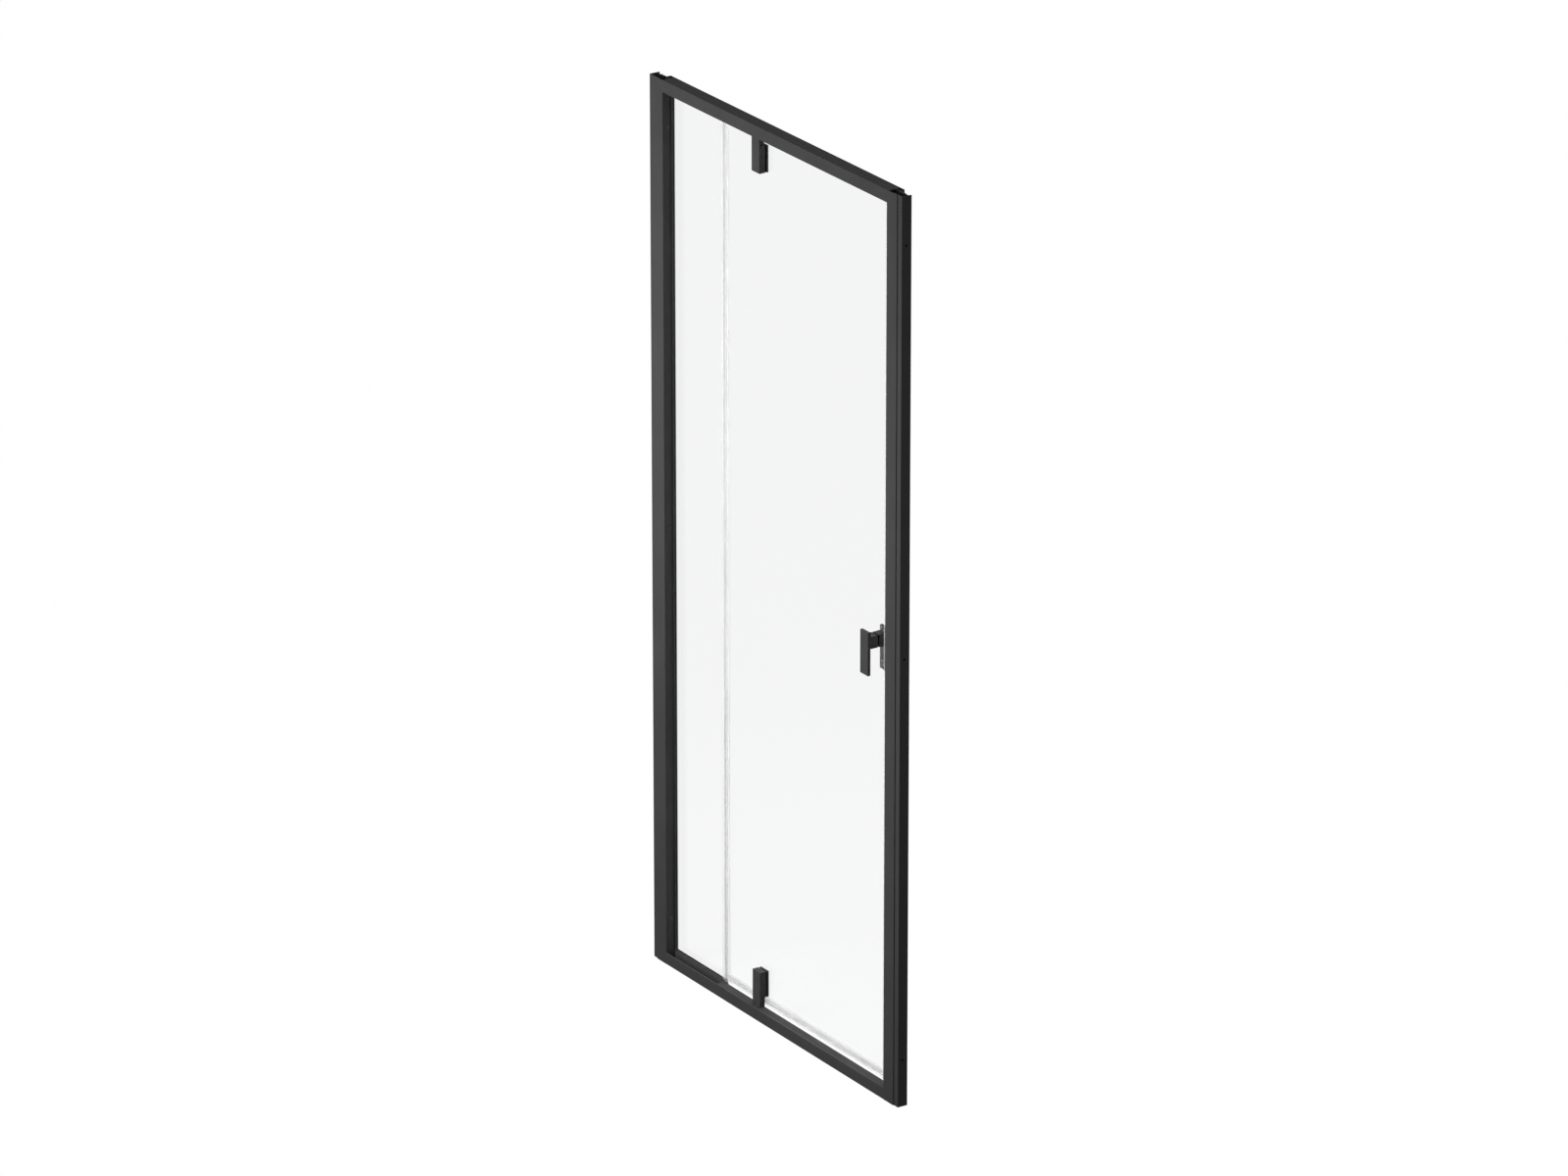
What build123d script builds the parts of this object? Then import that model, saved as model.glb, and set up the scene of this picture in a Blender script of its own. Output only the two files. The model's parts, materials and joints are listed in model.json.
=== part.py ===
from build123d import *
import os

os.makedirs("parts", exist_ok=True)

# Frame of reference, in millimetres: X runs along the doorway, Y from the outside into
# the shower with 0 at the middle plane of the glass, and Z up from the shower tray.

# Overall size
overall_width = 900.0
overall_height = 1900.0

# Aluminium sections
frame_wall = 1.6
jamb_width = 35.5
box_depth = 20.4
wall_profile_reveal = 14.0
top_rail_height = 25.0
bottom_rail_height = 25.0
edge_radius = 0.5

# Glass and the pocket that holds it
glass_thickness = 5.0
gasket_thickness = 1.2
pocket_wall = 1.3
pocket_depth = 14.7
pocket_lip_reach = 3.7
pocket_lip_grip = 4.0
glass_in_pocket = 11.5
glass_in_top_pocket = 14.0

# Wall profiles
profile_wall = 1.6
profile_leg = 30.0
profile_tail = 5.8
nesting_gap = 0.3
wall_hole_radius = 2.75
wall_hole_from_front = 12.5
wall_hole_margin = 100.0

# Access holes in the jambs and their caps
access_hole_radius = 4.3
cap_radius = 5.6
cap_height = 1.2
cap_bevel = 0.5
cap_plug_length = 4.0
cap_plug_wall = 1.1
cap_clearance = 0.1

# Screws that hold the frame together
port_radius = 2.4
port_screw_radius = 1.5
port_lift = 2.0
port_inset = 3.6
corner_screw_length = 22.0
corner_head_radius = 3.0
corner_head_height = 2.2
jamb_screw_radius = 1.75
jamb_screw_length = 9.5
jamb_screw_head_radius = 3.8
jamb_screw_head_height = 2.4
jamb_screw_margin = 150.0
jamb_screw_from_edge = 10.0
thread_clearance = 0.02
shank_clearance = 0.25
recess_width = 0.9
recess_depth = 1.0

# Sill cover and top infill
cover_thickness = 1.6
cover_gap = 0.2
cover_ledge = 0.8
cover_ledge_height = 1.8
cover_leg = 1.0
cover_leg_drop = 8.0
cover_block_gap = 1.0
cover_barb = 0.5
infill_thickness = 1.4
infill_leg_height = 9.0
strip_end_gap = 0.1

# Fixed panel
fixed_panel_width = 187.3
sill_channel_height = 27.5
glass_above_floor = 8.4
gasket_web = 2.0
gasket_proud = 0.4
setting_block_length = 30.0
setting_block_inset = 60.0
fixed_seal_leg = 7.9
seal_wall = 1.2
seal_leg = 1.0
seal_clearance = 0.1

# Door leaf
leaf_side_gap = 0.4
leaf_strike_gap = 1.0
strike_nose = 2.0
seal_sill_gap = 1.5
leaf_head_gap = 4.0
hinge_seal_reach = 2.8
hinge_seal_leg = 9.7
closing_seal_reach = 20.5
closing_seal_leg = 12.2
magnet_case_depth = 9.0
magnet_case_half = 4.0
magnet_case_wall = 1.0
magnet_clearance = 0.1
bottom_seal_drop = 8.0
bottom_seal_leg = 9.5
wipe_fin_width = 1.2
deflector_reach = 4.0
deflector_lift = 1.2
strike_stem = 1.4
strike_stem_length = 11.0
strike_barb = 2.2
strike_case_depth = 6.5
strike_case_half = 3.5

# Pivots
pivot_inset = 136.8
pivot_pin_radius = 3.0
running_clearance = 0.05
pivot_gap = 1.0
pivot_axis_depth = 12.0
pin_in_block = 28.0
pin_in_bearing = 13.0
pin_end_gap = 1.0
pin_lead_chamfer = 0.6
pivot_width = 28.0
pivot_height = 75.0
pivot_front = 16.4
pivot_notch_height = 19.0
pivot_notch_depth = 2.0
pivot_edge = 0.8
clamp_gasket = 0.5
clamp_plate = 4.0
clamp_screw_radius = 2.5
clamp_head_radius = 4.6
clamp_screw_length = 17.5
clamp_screw_low = 14.0
clamp_screw_spacing = 28.0
glass_hole_radius = 6.0
sleeve_clearance = 0.1
grub_radius = 2.0
grub_length = 6.0
grub_from_end = 17.0
hex_key_radius = 1.15
hex_key_depth = 2.0

# Bearing blocks in the rails
bearing_length = 44.0
bearing_height = 14.2
bearing_foot_width = 4.8
bearing_side_gap = 0.2
bearing_boss_radius = 4.4
bearing_boss_stand = 0.5
washer_thickness = 0.4
bearing_screw_offset = 15.0
bearing_screw_radius = 1.5
bearing_screw_head_radius = 2.9
bearing_screw_length = 12.0

# Handle
handle_inset = 68.0
handle_bottom = 882.0
handle_height = 91.0
handle_width = 28.0
handle_plate = 6.0
handle_stand = 18.7
handle_edge = 0.8
stem_width = 24.0
stem_height = 25.0
stem_above_bottom = 55.0
stem_edge = 0.5
stud_radius = 4.0
stud_in_stem = 12.0
stud_end_gap = 1.0
handle_grub_radius = 2.0
handle_grub_length = 5.0
handle_grub_from_glass = 8.0

# Places worked out from the sizes above
half_glass = glass_thickness / 2
pocket_half = half_glass + gasket_thickness
frame_back = pocket_half + pocket_wall
box_back = -frame_back
frame_front = box_back - box_depth
box_inner_front = frame_front + frame_wall
box_inner_back = box_back - frame_wall
wall_x = overall_width / 2
jamb_outer = wall_x - wall_profile_reveal
jamb_inner = jamb_outer - jamb_width
jamb_inner_wall = jamb_inner + frame_wall
profile_web = wall_x - profile_wall
head_level = overall_height - top_rail_height
sill_level = bottom_rail_height
wall_hole_y = frame_front + wall_hole_from_front
wall_hole_levels = (wall_hole_margin, overall_height / 2, overall_height - wall_hole_margin)
jamb_screw_levels = (jamb_screw_margin, overall_height / 2, overall_height - jamb_screw_margin)
jamb_screw_x = jamb_outer - jamb_screw_from_edge
port_front = box_inner_front + port_inset
port_back = box_inner_back - port_inset
port_low = frame_wall + port_lift
port_high = overall_height - frame_wall - port_lift
port_places = [(y, z) for y in (port_front, port_back) for z in (port_low, port_high)]
fixed_seal_edge = -jamb_inner + fixed_panel_width
fixed_glass_left = -jamb_inner - glass_in_pocket
fixed_glass_right = fixed_seal_edge - seal_wall
fixed_glass_bottom = frame_wall + glass_above_floor
fixed_glass_top = head_level + glass_in_top_pocket
leaf_left = fixed_seal_edge + leaf_side_gap
leaf_right = jamb_inner - strike_nose - leaf_strike_gap
leaf_bottom = sill_level + seal_sill_gap
door_glass_left = leaf_left + hinge_seal_reach
door_glass_right = leaf_right - closing_seal_reach
door_glass_bottom = leaf_bottom + bottom_seal_drop
door_glass_top = head_level - leaf_head_gap
bottom_seal_left = door_glass_left + hinge_seal_leg - seal_wall
bottom_seal_right = door_glass_right - closing_seal_leg
seal_inner = half_glass + seal_clearance
seal_outer = seal_inner + seal_leg
pivot_x = leaf_left + pivot_inset
pivot_y = -pivot_axis_depth
clamp_face = half_glass + clamp_gasket
bearing_mid_y = (port_front + port_back) / 2
handle_x = leaf_right - handle_inset
stem_bottom = handle_bottom + stem_above_bottom
stem_top = stem_bottom + stem_height
stud_level = stem_bottom + stem_height / 2
grip_outer = half_glass + handle_stand + handle_plate
grip_inner = half_glass + handle_stand
ledge_top = sill_level - cover_thickness
ledge_low = ledge_top - cover_ledge_height
cover_left = leaf_left
cover_right = jamb_inner - strip_end_gap
magnet_inset = magnet_case_wall + magnet_clearance
strike_face = jamb_inner - strike_nose
pivot_sides = (pivot_x - pivot_width / 2, pivot_x + pivot_width / 2)


def wall_piece(a, b, low, high):
    """A straight stretch of a section, between two values each way."""
    with Locations(((a + b) / 2, (low + high) / 2)):
        Rectangle(abs(b - a), abs(high - low))


def slab(x_span, y_span, z_span, mode=Mode.ADD):
    """A block between two values along each axis."""
    spans = (x_span, y_span, z_span)
    middle = [(low + high) / 2 for low, high in spans]
    size = [abs(high - low) for low, high in spans]
    with Locations(tuple(middle)):
        Box(*size, mode=mode)


def rod(place, radius, length, mode=Mode.ADD):
    """A round bar or hole from a plane along its normal."""
    with Locations(place):
        Cylinder(radius, length, align=(Align.CENTER, Align.CENTER, Align.MIN), mode=mode)


def cross_recess(place, radius):
    """The driver's cross in a screw head whose face lies on the plane."""
    centred = (Align.CENTER, Align.CENTER, Align.MAX)
    with Locations(place):
        Box(2 * radius, recess_width, recess_depth, align=centred, mode=Mode.SUBTRACT)
        Box(recess_width, 2 * radius, recess_depth, align=centred, mode=Mode.SUBTRACT)


def pan_screw(place, radius, length, head_radius, head_height):
    """A pan head screw: head seated on the plane, shank against its normal."""
    bevel = head_height / 3
    with Locations(place):
        Cylinder(radius, length, align=(Align.CENTER, Align.CENTER, Align.MAX))
    rod(place, head_radius, head_height - bevel)
    with Locations(place.offset(head_height - bevel)):
        Cone(
            head_radius,
            head_radius - bevel,
            bevel,
            align=(Align.CENTER, Align.CENTER, Align.MIN),
        )
    cross_recess(place.offset(head_height), head_radius - 2 * bevel)


def countersunk_screw(place, radius, length, head_radius):
    """A countersunk screw: head flush with the plane, shank against its normal."""
    below = (Align.CENTER, Align.CENTER, Align.MAX)
    with Locations(place):
        Cylinder(radius, length, align=below)
        Cone(radius, head_radius, head_radius - radius, align=below)
    cross_recess(place, radius)


def grub_screw(place, radius, length):
    """A headless screw whose outer end lies on the plane, with its hexagon socket."""
    with Locations(place):
        Cylinder(radius, length, align=(Align.CENTER, Align.CENTER, Align.MAX))
    with BuildSketch(place) as socket:
        RegularPolygon(hex_key_radius, 6)
    extrude(socket.sketch, amount=-hex_key_depth, mode=Mode.SUBTRACT)


# Wall profiles: the channels that are screwed to the two walls
def wall_profile_section(side):
    """Web on the wall, two legs inside the jamb and a tail behind the back leg."""
    leg_end = side * (wall_x - profile_leg)
    front = box_inner_front + nesting_gap
    back = box_inner_back - nesting_gap
    wall_piece(side * profile_web, side * wall_x, front, back + profile_tail)
    wall_piece(side * profile_web, leg_end, front, front + profile_wall)
    wall_piece(side * profile_web, leg_end, back - profile_wall, back)


def wall_profile_holes(side):
    """Three holes for the wall screws and three for the screws from the jamb."""
    for level in wall_hole_levels:
        place = Plane((side * profile_web, wall_hole_y, level), z_dir=(side, 0, 0))
        rod(place.offset(-profile_wall), wall_hole_radius, 3 * profile_wall, Mode.SUBTRACT)
    for level in jamb_screw_levels:
        place = Plane((side * jamb_screw_x, box_inner_back, level), z_dir=(0, -1, 0))
        rod(place, jamb_screw_radius + thread_clearance, 3 * profile_wall, Mode.SUBTRACT)


with BuildPart() as left_wall_profile:
    with BuildSketch(Plane.XY):
        wall_profile_section(-1)
    extrude(amount=overall_height)
    wall_profile_holes(-1)
left_wall_profile.part.label = "left_wall_profile"
export_step(left_wall_profile.part, "parts/left_wall_profile.step")

with BuildPart() as right_wall_profile:
    with BuildSketch(Plane.XY):
        wall_profile_section(1)
    extrude(amount=overall_height)
    wall_profile_holes(1)
right_wall_profile.part.label = "right_wall_profile"
export_step(right_wall_profile.part, "parts/right_wall_profile.step")


# Jambs: box in front, glass pocket behind, open towards the wall for the wall profile
def jamb_section(side):
    """The upright's section, its outer corners slightly rounded."""
    inner = side * jamb_inner
    inner_wall = side * jamb_inner_wall
    outer = side * jamb_outer
    pocket_end = side * (jamb_inner + pocket_depth)
    wall_piece(outer, inner, frame_front, box_inner_front)
    wall_piece(inner_wall, inner, frame_front, box_back)
    wall_piece(outer, inner, box_inner_back, box_back)
    wall_piece(pocket_end, pocket_end + side * pocket_wall, box_inner_back, frame_back)
    wall_piece(pocket_end + side * pocket_wall, inner, pocket_half, frame_back)
    wall_piece(inner + side * pocket_lip_grip, inner, box_inner_back, -pocket_half)


def jamb_holes(side):
    """Access holes, corner screw holes and the holes for the wall profile's screws."""
    outwards = (side, 0, 0)
    for level in wall_hole_levels:
        place = Plane((side * jamb_inner, wall_hole_y, level), z_dir=outwards)
        rod(place, access_hole_radius, frame_wall, Mode.SUBTRACT)
    for y, z in port_places:
        place = Plane((side * jamb_inner, y, z), z_dir=outwards)
        rod(place, port_screw_radius + shank_clearance, frame_wall, Mode.SUBTRACT)
    for level in jamb_screw_levels:
        place = Plane((side * jamb_screw_x, box_back, level), z_dir=(0, -1, 0))
        rod(place, jamb_screw_radius + shank_clearance, frame_wall, Mode.SUBTRACT)


with BuildPart() as left_jamb:
    with BuildSketch(Plane.XY) as left_jamb_sketch:
        jamb_section(-1)
        fillet(left_jamb_sketch.vertices().group_by(Axis.Y)[0], edge_radius)
    extrude(amount=overall_height)
    with BuildSketch(Plane.XY.offset(sill_channel_height)):
        wall_piece(-jamb_inner, -jamb_inner + pocket_lip_reach, box_back, -pocket_half)
    extrude(amount=head_level - sill_channel_height)
    jamb_holes(-1)
left_jamb.part.label = "left_jamb"
export_step(left_jamb.part, "parts/left_jamb.step")

with BuildPart() as right_jamb:
    with BuildSketch(Plane.XY) as right_jamb_sketch:
        jamb_section(1)
        fillet(right_jamb_sketch.vertices().group_by(Axis.Y)[0], edge_radius)
    extrude(amount=overall_height)
    jamb_holes(1)
right_jamb.part.label = "right_jamb"
export_step(right_jamb.part, "parts/right_jamb.step")


# Rails: cut between the jambs, with two screw ports each along their whole length
def screw_ports(level):
    """Two round ports for the corner screws, joined to the rail's outer wall."""
    foot = 0 if level == port_low else overall_height
    for y in (port_front, port_back):
        with Locations((y, level)):
            Circle(port_radius)
        wall_piece(y - port_screw_radius, y + port_screw_radius, level, foot)


def screw_port_holes(level):
    """The ports' holes, taken out after everything else."""
    with Locations((port_front, level), (port_back, level)):
        Circle(port_screw_radius + thread_clearance, mode=Mode.SUBTRACT)


def bearing_screw_holes(level, up):
    """Countersunk holes in the rail for the two screws of the bearing block."""
    for offset in (-bearing_screw_offset, bearing_screw_offset):
        with Locations(Plane((pivot_x + offset, bearing_mid_y, level), z_dir=(0, 0, up))):
            CounterSinkHole(
                bearing_screw_radius + shank_clearance,
                bearing_screw_head_radius + shank_clearance,
                depth=frame_wall,
            )


with BuildPart() as top_rail:
    with BuildSketch(Plane.YZ.offset(-jamb_inner)) as top_rail_sketch:
        wall_piece(frame_front, box_inner_front, head_level, overall_height)
        wall_piece(frame_front, frame_back, overall_height - frame_wall, overall_height)
        wall_piece(frame_front, box_back, head_level, head_level + frame_wall)
        wall_piece(box_inner_back, box_back, head_level, overall_height)
        wall_piece(pocket_half, frame_back, head_level, overall_height)
        wall_piece(box_inner_back, -pocket_half, head_level, head_level + pocket_lip_grip)
        screw_ports(port_high)
        screw_port_holes(port_high)
        fillet(top_rail_sketch.vertices().group_by(Axis.Y)[0], edge_radius)
    extrude(amount=2 * jamb_inner)
    boss_hole = Plane((pivot_x, pivot_y, head_level))
    rod(boss_hole, bearing_boss_radius + sleeve_clearance, frame_wall, Mode.SUBTRACT)
    bearing_screw_holes(head_level, -1)
top_rail.part.label = "top_rail"
export_step(top_rail.part, "parts/top_rail.step")

with BuildPart() as bottom_rail:
    with BuildSketch(Plane.YZ.offset(-jamb_inner)) as bottom_rail_sketch:
        wall_piece(frame_front, box_inner_front, 0, sill_level)
        wall_piece(box_inner_back, box_back, 0, sill_level)
        wall_piece(frame_front, box_back, 0, frame_wall)
        wall_piece(box_inner_front, box_inner_front + cover_ledge, ledge_low, ledge_top)
        wall_piece(box_inner_back - cover_ledge, box_inner_back, ledge_low, ledge_top)
        screw_ports(port_low)
        screw_port_holes(port_low)
        fillet(bottom_rail_sketch.vertices().group_by(Axis.Y)[0], edge_radius)
    extrude(amount=2 * jamb_inner)
    bearing_screw_holes(0, -1)
bottom_rail.part.label = "bottom_rail"
export_step(bottom_rail.part, "parts/bottom_rail.step")

# Sill cover: closes the open bottom rail along the doorway, clipped under two ledges
with BuildPart() as sill_cover:
    with BuildSketch(Plane.YZ.offset(cover_left)):
        cover_front = box_inner_front + cover_gap
        cover_back = box_inner_back - cover_gap
        leg_inset = cover_ledge + cover_gap
        leg_low = ledge_top - cover_leg_drop
        wall_piece(cover_front, cover_back, ledge_top, sill_level)
        for edge, inward in ((box_inner_front, 1), (box_inner_back, -1)):
            leg_face = edge + inward * leg_inset
            barb_top = ledge_low - cover_gap
            wall_piece(leg_face, leg_face + inward * cover_leg, leg_low, ledge_top)
            with BuildLine():
                Polyline(
                    (leg_face, barb_top),
                    (leg_face - inward * cover_barb, barb_top),
                    (leg_face, barb_top - 2 * cover_barb),
                    close=True,
                )
            make_face()
    extrude(amount=cover_right - cover_left)
    clear_of_block = bearing_length / 2 + cover_block_gap
    slab(
        (pivot_x - clear_of_block, pivot_x + clear_of_block),
        (box_inner_front, box_inner_back),
        (leg_low, ledge_top),
        Mode.SUBTRACT,
    )
    boss_hole = Plane((pivot_x, pivot_y, ledge_top))
    rod(boss_hole, bearing_boss_radius + sleeve_clearance, cover_thickness, Mode.SUBTRACT)
sill_cover.part.label = "sill_cover"
export_step(sill_cover.part, "parts/sill_cover.step")

# Top infill: closes the top rail's glass pocket along the doorway
with BuildPart() as top_rail_infill:
    with BuildSketch(Plane.YZ.offset(cover_left)):
        infill_half = pocket_half - cover_gap
        wall_piece(-infill_half, infill_half, head_level, head_level + infill_thickness)
        for edge in (-1, 1):
            wall_piece(
                edge * infill_half,
                edge * (infill_half - cover_leg),
                head_level,
                head_level + infill_leg_height,
            )
    extrude(amount=cover_right - cover_left)
top_rail_infill.part.label = "top_rail_infill"
export_step(top_rail_infill.part, "parts/top_rail_infill.step")

# Corner screws: from inside the jambs into the rails' ports
with BuildPart() as corner_screws:
    for side in (-1, 1):
        for y, z in port_places:
            pan_screw(
                Plane((side * jamb_inner_wall, y, z), x_dir=(0, 1, 0), z_dir=(side, 0, 0)),
                port_screw_radius,
                corner_screw_length,
                corner_head_radius,
                corner_head_height,
            )
corner_screws.part.label = "corner_screws"
export_step(corner_screws.part, "parts/corner_screws.step")

# Jamb screws: from behind through the jamb into the wall profile's back leg
with BuildPart() as jamb_fixing_screws:
    for side in (-1, 1):
        for level in jamb_screw_levels:
            pan_screw(
                Plane((side * jamb_screw_x, box_back, level), x_dir=(1, 0, 0), z_dir=(0, 1, 0)),
                jamb_screw_radius,
                jamb_screw_length,
                jamb_screw_head_radius,
                jamb_screw_head_height,
            )
jamb_fixing_screws.part.label = "jamb_fixing_screws"
export_step(jamb_fixing_screws.part, "parts/jamb_fixing_screws.step")

# Caps: plugs in the access holes through which the wall screws are driven
with BuildPart() as jamb_hole_caps:
    plug_radius = access_hole_radius - cap_clearance
    for side in (-1, 1):
        for level in wall_hole_levels:
            inward = Plane((side * jamb_inner, wall_hole_y, level), z_dir=(-side, 0, 0))
            outward = Plane((side * jamb_inner, wall_hole_y, level), z_dir=(side, 0, 0))
            rod(inward, cap_radius, cap_height - cap_bevel)
            with Locations(inward.offset(cap_height - cap_bevel)):
                Cone(
                    cap_radius,
                    cap_radius - cap_bevel,
                    cap_bevel,
                    align=(Align.CENTER, Align.CENTER, Align.MIN),
                )
            rod(outward, plug_radius, cap_plug_length)
            rod(outward, plug_radius - cap_plug_wall, cap_plug_length, Mode.SUBTRACT)
jamb_hole_caps.part.label = "jamb_hole_caps"
export_step(jamb_hole_caps.part, "parts/jamb_hole_caps.step")

# Fixed panel: the narrow pane beside the door, held on three edges
with BuildPart() as fixed_glass:
    slab(
        (fixed_glass_left, fixed_glass_right),
        (-half_glass, half_glass),
        (fixed_glass_bottom, fixed_glass_top),
    )
fixed_glass.part.label = "fixed_glass"
export_step(fixed_glass.part, "parts/fixed_glass.step")

# Sill channel: carries the fixed pane behind the bottom rail
with BuildPart() as fixed_glass_sill_channel:
    with BuildSketch(Plane.YZ.offset(-jamb_inner)):
        wall_piece(box_back, frame_back, 0, frame_wall)
        wall_piece(box_back, -pocket_half, 0, sill_channel_height)
        wall_piece(pocket_half, frame_back, 0, sill_channel_height)
    extrude(amount=fixed_panel_width)
fixed_glass_sill_channel.part.label = "fixed_glass_sill_channel"
export_step(fixed_glass_sill_channel.part, "parts/fixed_glass_sill_channel.step")

# Gaskets: black rubber channels round the fixed pane's left, bottom and top edges
with BuildPart() as fixed_glass_gaskets:
    gasket_low = sill_channel_height + 2 * gasket_proud
    gasket_high = head_level - gasket_proud
    with BuildSketch(Plane.XY.offset(gasket_low)):
        web_end = fixed_glass_left - gasket_web
        wall_piece(web_end, fixed_glass_left, -pocket_half, pocket_half)
        front_end = -jamb_inner + pocket_lip_reach + gasket_proud
        wall_piece(web_end, front_end, -pocket_half, -half_glass)
        wall_piece(web_end, -jamb_inner + gasket_proud, half_glass, pocket_half)
    extrude(amount=gasket_high - gasket_low)
    with BuildSketch(Plane.YZ.offset(-jamb_inner)):
        web_low = fixed_glass_bottom - gasket_web
        lip_level = sill_channel_height + gasket_proud
        wall_piece(-pocket_half, pocket_half, web_low, fixed_glass_bottom)
        wall_piece(-pocket_half, -half_glass, web_low, lip_level)
        wall_piece(half_glass, pocket_half, web_low, lip_level)
    extrude(amount=fixed_glass_right + jamb_inner)
    with BuildSketch(Plane.YZ.offset(-jamb_inner)):
        web_high = fixed_glass_top + gasket_web
        lip_level = head_level - gasket_proud / 2
        wall_piece(-pocket_half, pocket_half, fixed_glass_top, web_high)
        wall_piece(-pocket_half, -half_glass, lip_level, web_high)
        wall_piece(half_glass, pocket_half, lip_level, web_high)
    extrude(amount=fixed_glass_right + jamb_inner)
fixed_glass_gaskets.part.label = "fixed_glass_gaskets"
export_step(fixed_glass_gaskets.part, "parts/fixed_glass_gaskets.step")

# Setting blocks: carry the pane's weight in the sill channel
with BuildPart() as glass_setting_blocks:
    for middle in (-jamb_inner + setting_block_inset, fixed_glass_right - setting_block_inset):
        slab(
            (middle - setting_block_length / 2, middle + setting_block_length / 2),
            (-pocket_half + cover_gap, pocket_half - cover_gap),
            (frame_wall, fixed_glass_bottom - gasket_web),
        )
glass_setting_blocks.part.label = "glass_setting_blocks"
export_step(glass_setting_blocks.part, "parts/glass_setting_blocks.step")


# Clear seals that clip over the edges of the two panes
def upright_clip(edge, inward, leg, web):
    """The clip's section: two legs beside the glass and a web over its edge."""
    wall_piece(edge, edge - inward * web, -seal_outer, seal_outer)
    for face in (-1, 1):
        wall_piece(edge - inward * web, edge + inward * leg, face * seal_inner, face * seal_outer)


with BuildPart() as fixed_glass_edge_seal:
    seal_low = sill_channel_height + 2 * gasket_proud
    with BuildSketch(Plane.XY.offset(seal_low)):
        upright_clip(fixed_glass_right, -1, fixed_seal_leg - seal_wall, seal_wall)
    extrude(amount=head_level - gasket_proud - seal_low)
fixed_glass_edge_seal.part.label = "fixed_glass_edge_seal"
export_step(fixed_glass_edge_seal.part, "parts/fixed_glass_edge_seal.step")

with BuildPart() as door_hinge_edge_seal:
    with BuildSketch(Plane.XY.offset(leaf_bottom)):
        upright_clip(door_glass_left, 1, hinge_seal_leg - seal_wall, seal_wall)
        fin_root = door_glass_left - seal_wall
        for face in (-1, 1):
            wall_piece(leaf_left, fin_root, face * seal_outer, face * (seal_outer - seal_leg))
    extrude(amount=door_glass_top - leaf_bottom)
door_hinge_edge_seal.part.label = "door_hinge_edge_seal"
export_step(door_hinge_edge_seal.part, "parts/door_hinge_edge_seal.step")

with BuildPart() as door_closing_seal:
    with BuildSketch(Plane.XY.offset(leaf_bottom)):
        case_back = leaf_right - magnet_case_depth
        upright_clip(door_glass_right, -1, closing_seal_leg, seal_wall)
        wall_piece(door_glass_right + seal_wall, case_back, -seal_wall, seal_wall)
        wall_piece(case_back, leaf_right, -magnet_case_half, magnet_case_half)
        with Locations((leaf_right - magnet_case_depth / 2, 0)):
            Rectangle(
                magnet_case_depth - 2 * magnet_case_wall,
                2 * (magnet_case_half - magnet_case_wall),
                mode=Mode.SUBTRACT,
            )
    extrude(amount=door_glass_top - leaf_bottom)
door_closing_seal.part.label = "door_closing_seal"
export_step(door_closing_seal.part, "parts/door_closing_seal.step")

with BuildPart() as door_closing_magnet:
    slab(
        (leaf_right - magnet_case_depth + magnet_inset, leaf_right - magnet_inset),
        (magnet_inset - magnet_case_half, magnet_case_half - magnet_inset),
        (leaf_bottom, door_glass_top),
    )
door_closing_magnet.part.label = "door_closing_magnet"
export_step(door_closing_magnet.part, "parts/door_closing_magnet.step")

with BuildPart() as door_bottom_seal:
    with BuildSketch(Plane.YZ.offset(bottom_seal_left)):
        web_low = door_glass_bottom - seal_wall
        wall_piece(-seal_outer, seal_outer, web_low, door_glass_bottom)
        for face in (-1, 1):
            clip_top = door_glass_bottom + bottom_seal_leg
            wall_piece(face * seal_inner, face * seal_outer, web_low, clip_top)
        wall_piece(-wipe_fin_width / 2, wipe_fin_width / 2, leaf_bottom, web_low)
        with BuildLine():
            Polyline(
                (seal_outer, web_low + seal_wall),
                (seal_outer, web_low),
                (seal_outer + deflector_reach - seal_leg, leaf_bottom + deflector_lift),
                (seal_outer + deflector_reach, leaf_bottom + deflector_lift),
                close=True,
            )
        make_face()
    extrude(amount=bottom_seal_right - bottom_seal_left)
door_bottom_seal.part.label = "door_bottom_seal"
export_step(door_bottom_seal.part, "parts/door_bottom_seal.step")

# Strike: the magnetic strip in the right jamb that the door closes against
strike_low = sill_level + cover_gap
strike_high = head_level - cover_gap
with BuildPart() as strike_seal:
    with BuildSketch(Plane.XY.offset(strike_low)):
        strike_back = strike_face + strike_case_depth
        stem_end = strike_back + strike_stem_length - strike_nose
        wall_piece(strike_face, strike_back, -strike_case_half, strike_case_half)
        wall_piece(strike_back, stem_end, -strike_stem / 2, strike_stem / 2)
        for barb in (1, 2):
            barb_x = strike_back + barb * (stem_end - strike_back) / 2
            wall_piece(barb_x - strike_stem, barb_x, -strike_barb, strike_barb)
        with Locations((strike_face + strike_case_depth / 2, 0)):
            Rectangle(
                strike_case_depth - 2 * magnet_case_wall,
                2 * (strike_case_half - magnet_case_wall),
                mode=Mode.SUBTRACT,
            )
    extrude(amount=strike_high - strike_low)
strike_seal.part.label = "strike_seal"
export_step(strike_seal.part, "parts/strike_seal.step")

with BuildPart() as strike_magnet:
    slab(
        (strike_face + magnet_inset, strike_face + strike_case_depth - magnet_inset),
        (magnet_inset - strike_case_half, strike_case_half - magnet_inset),
        (strike_low, strike_high),
    )
strike_magnet.part.label = "strike_magnet"
export_step(strike_magnet.part, "parts/strike_magnet.step")

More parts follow.
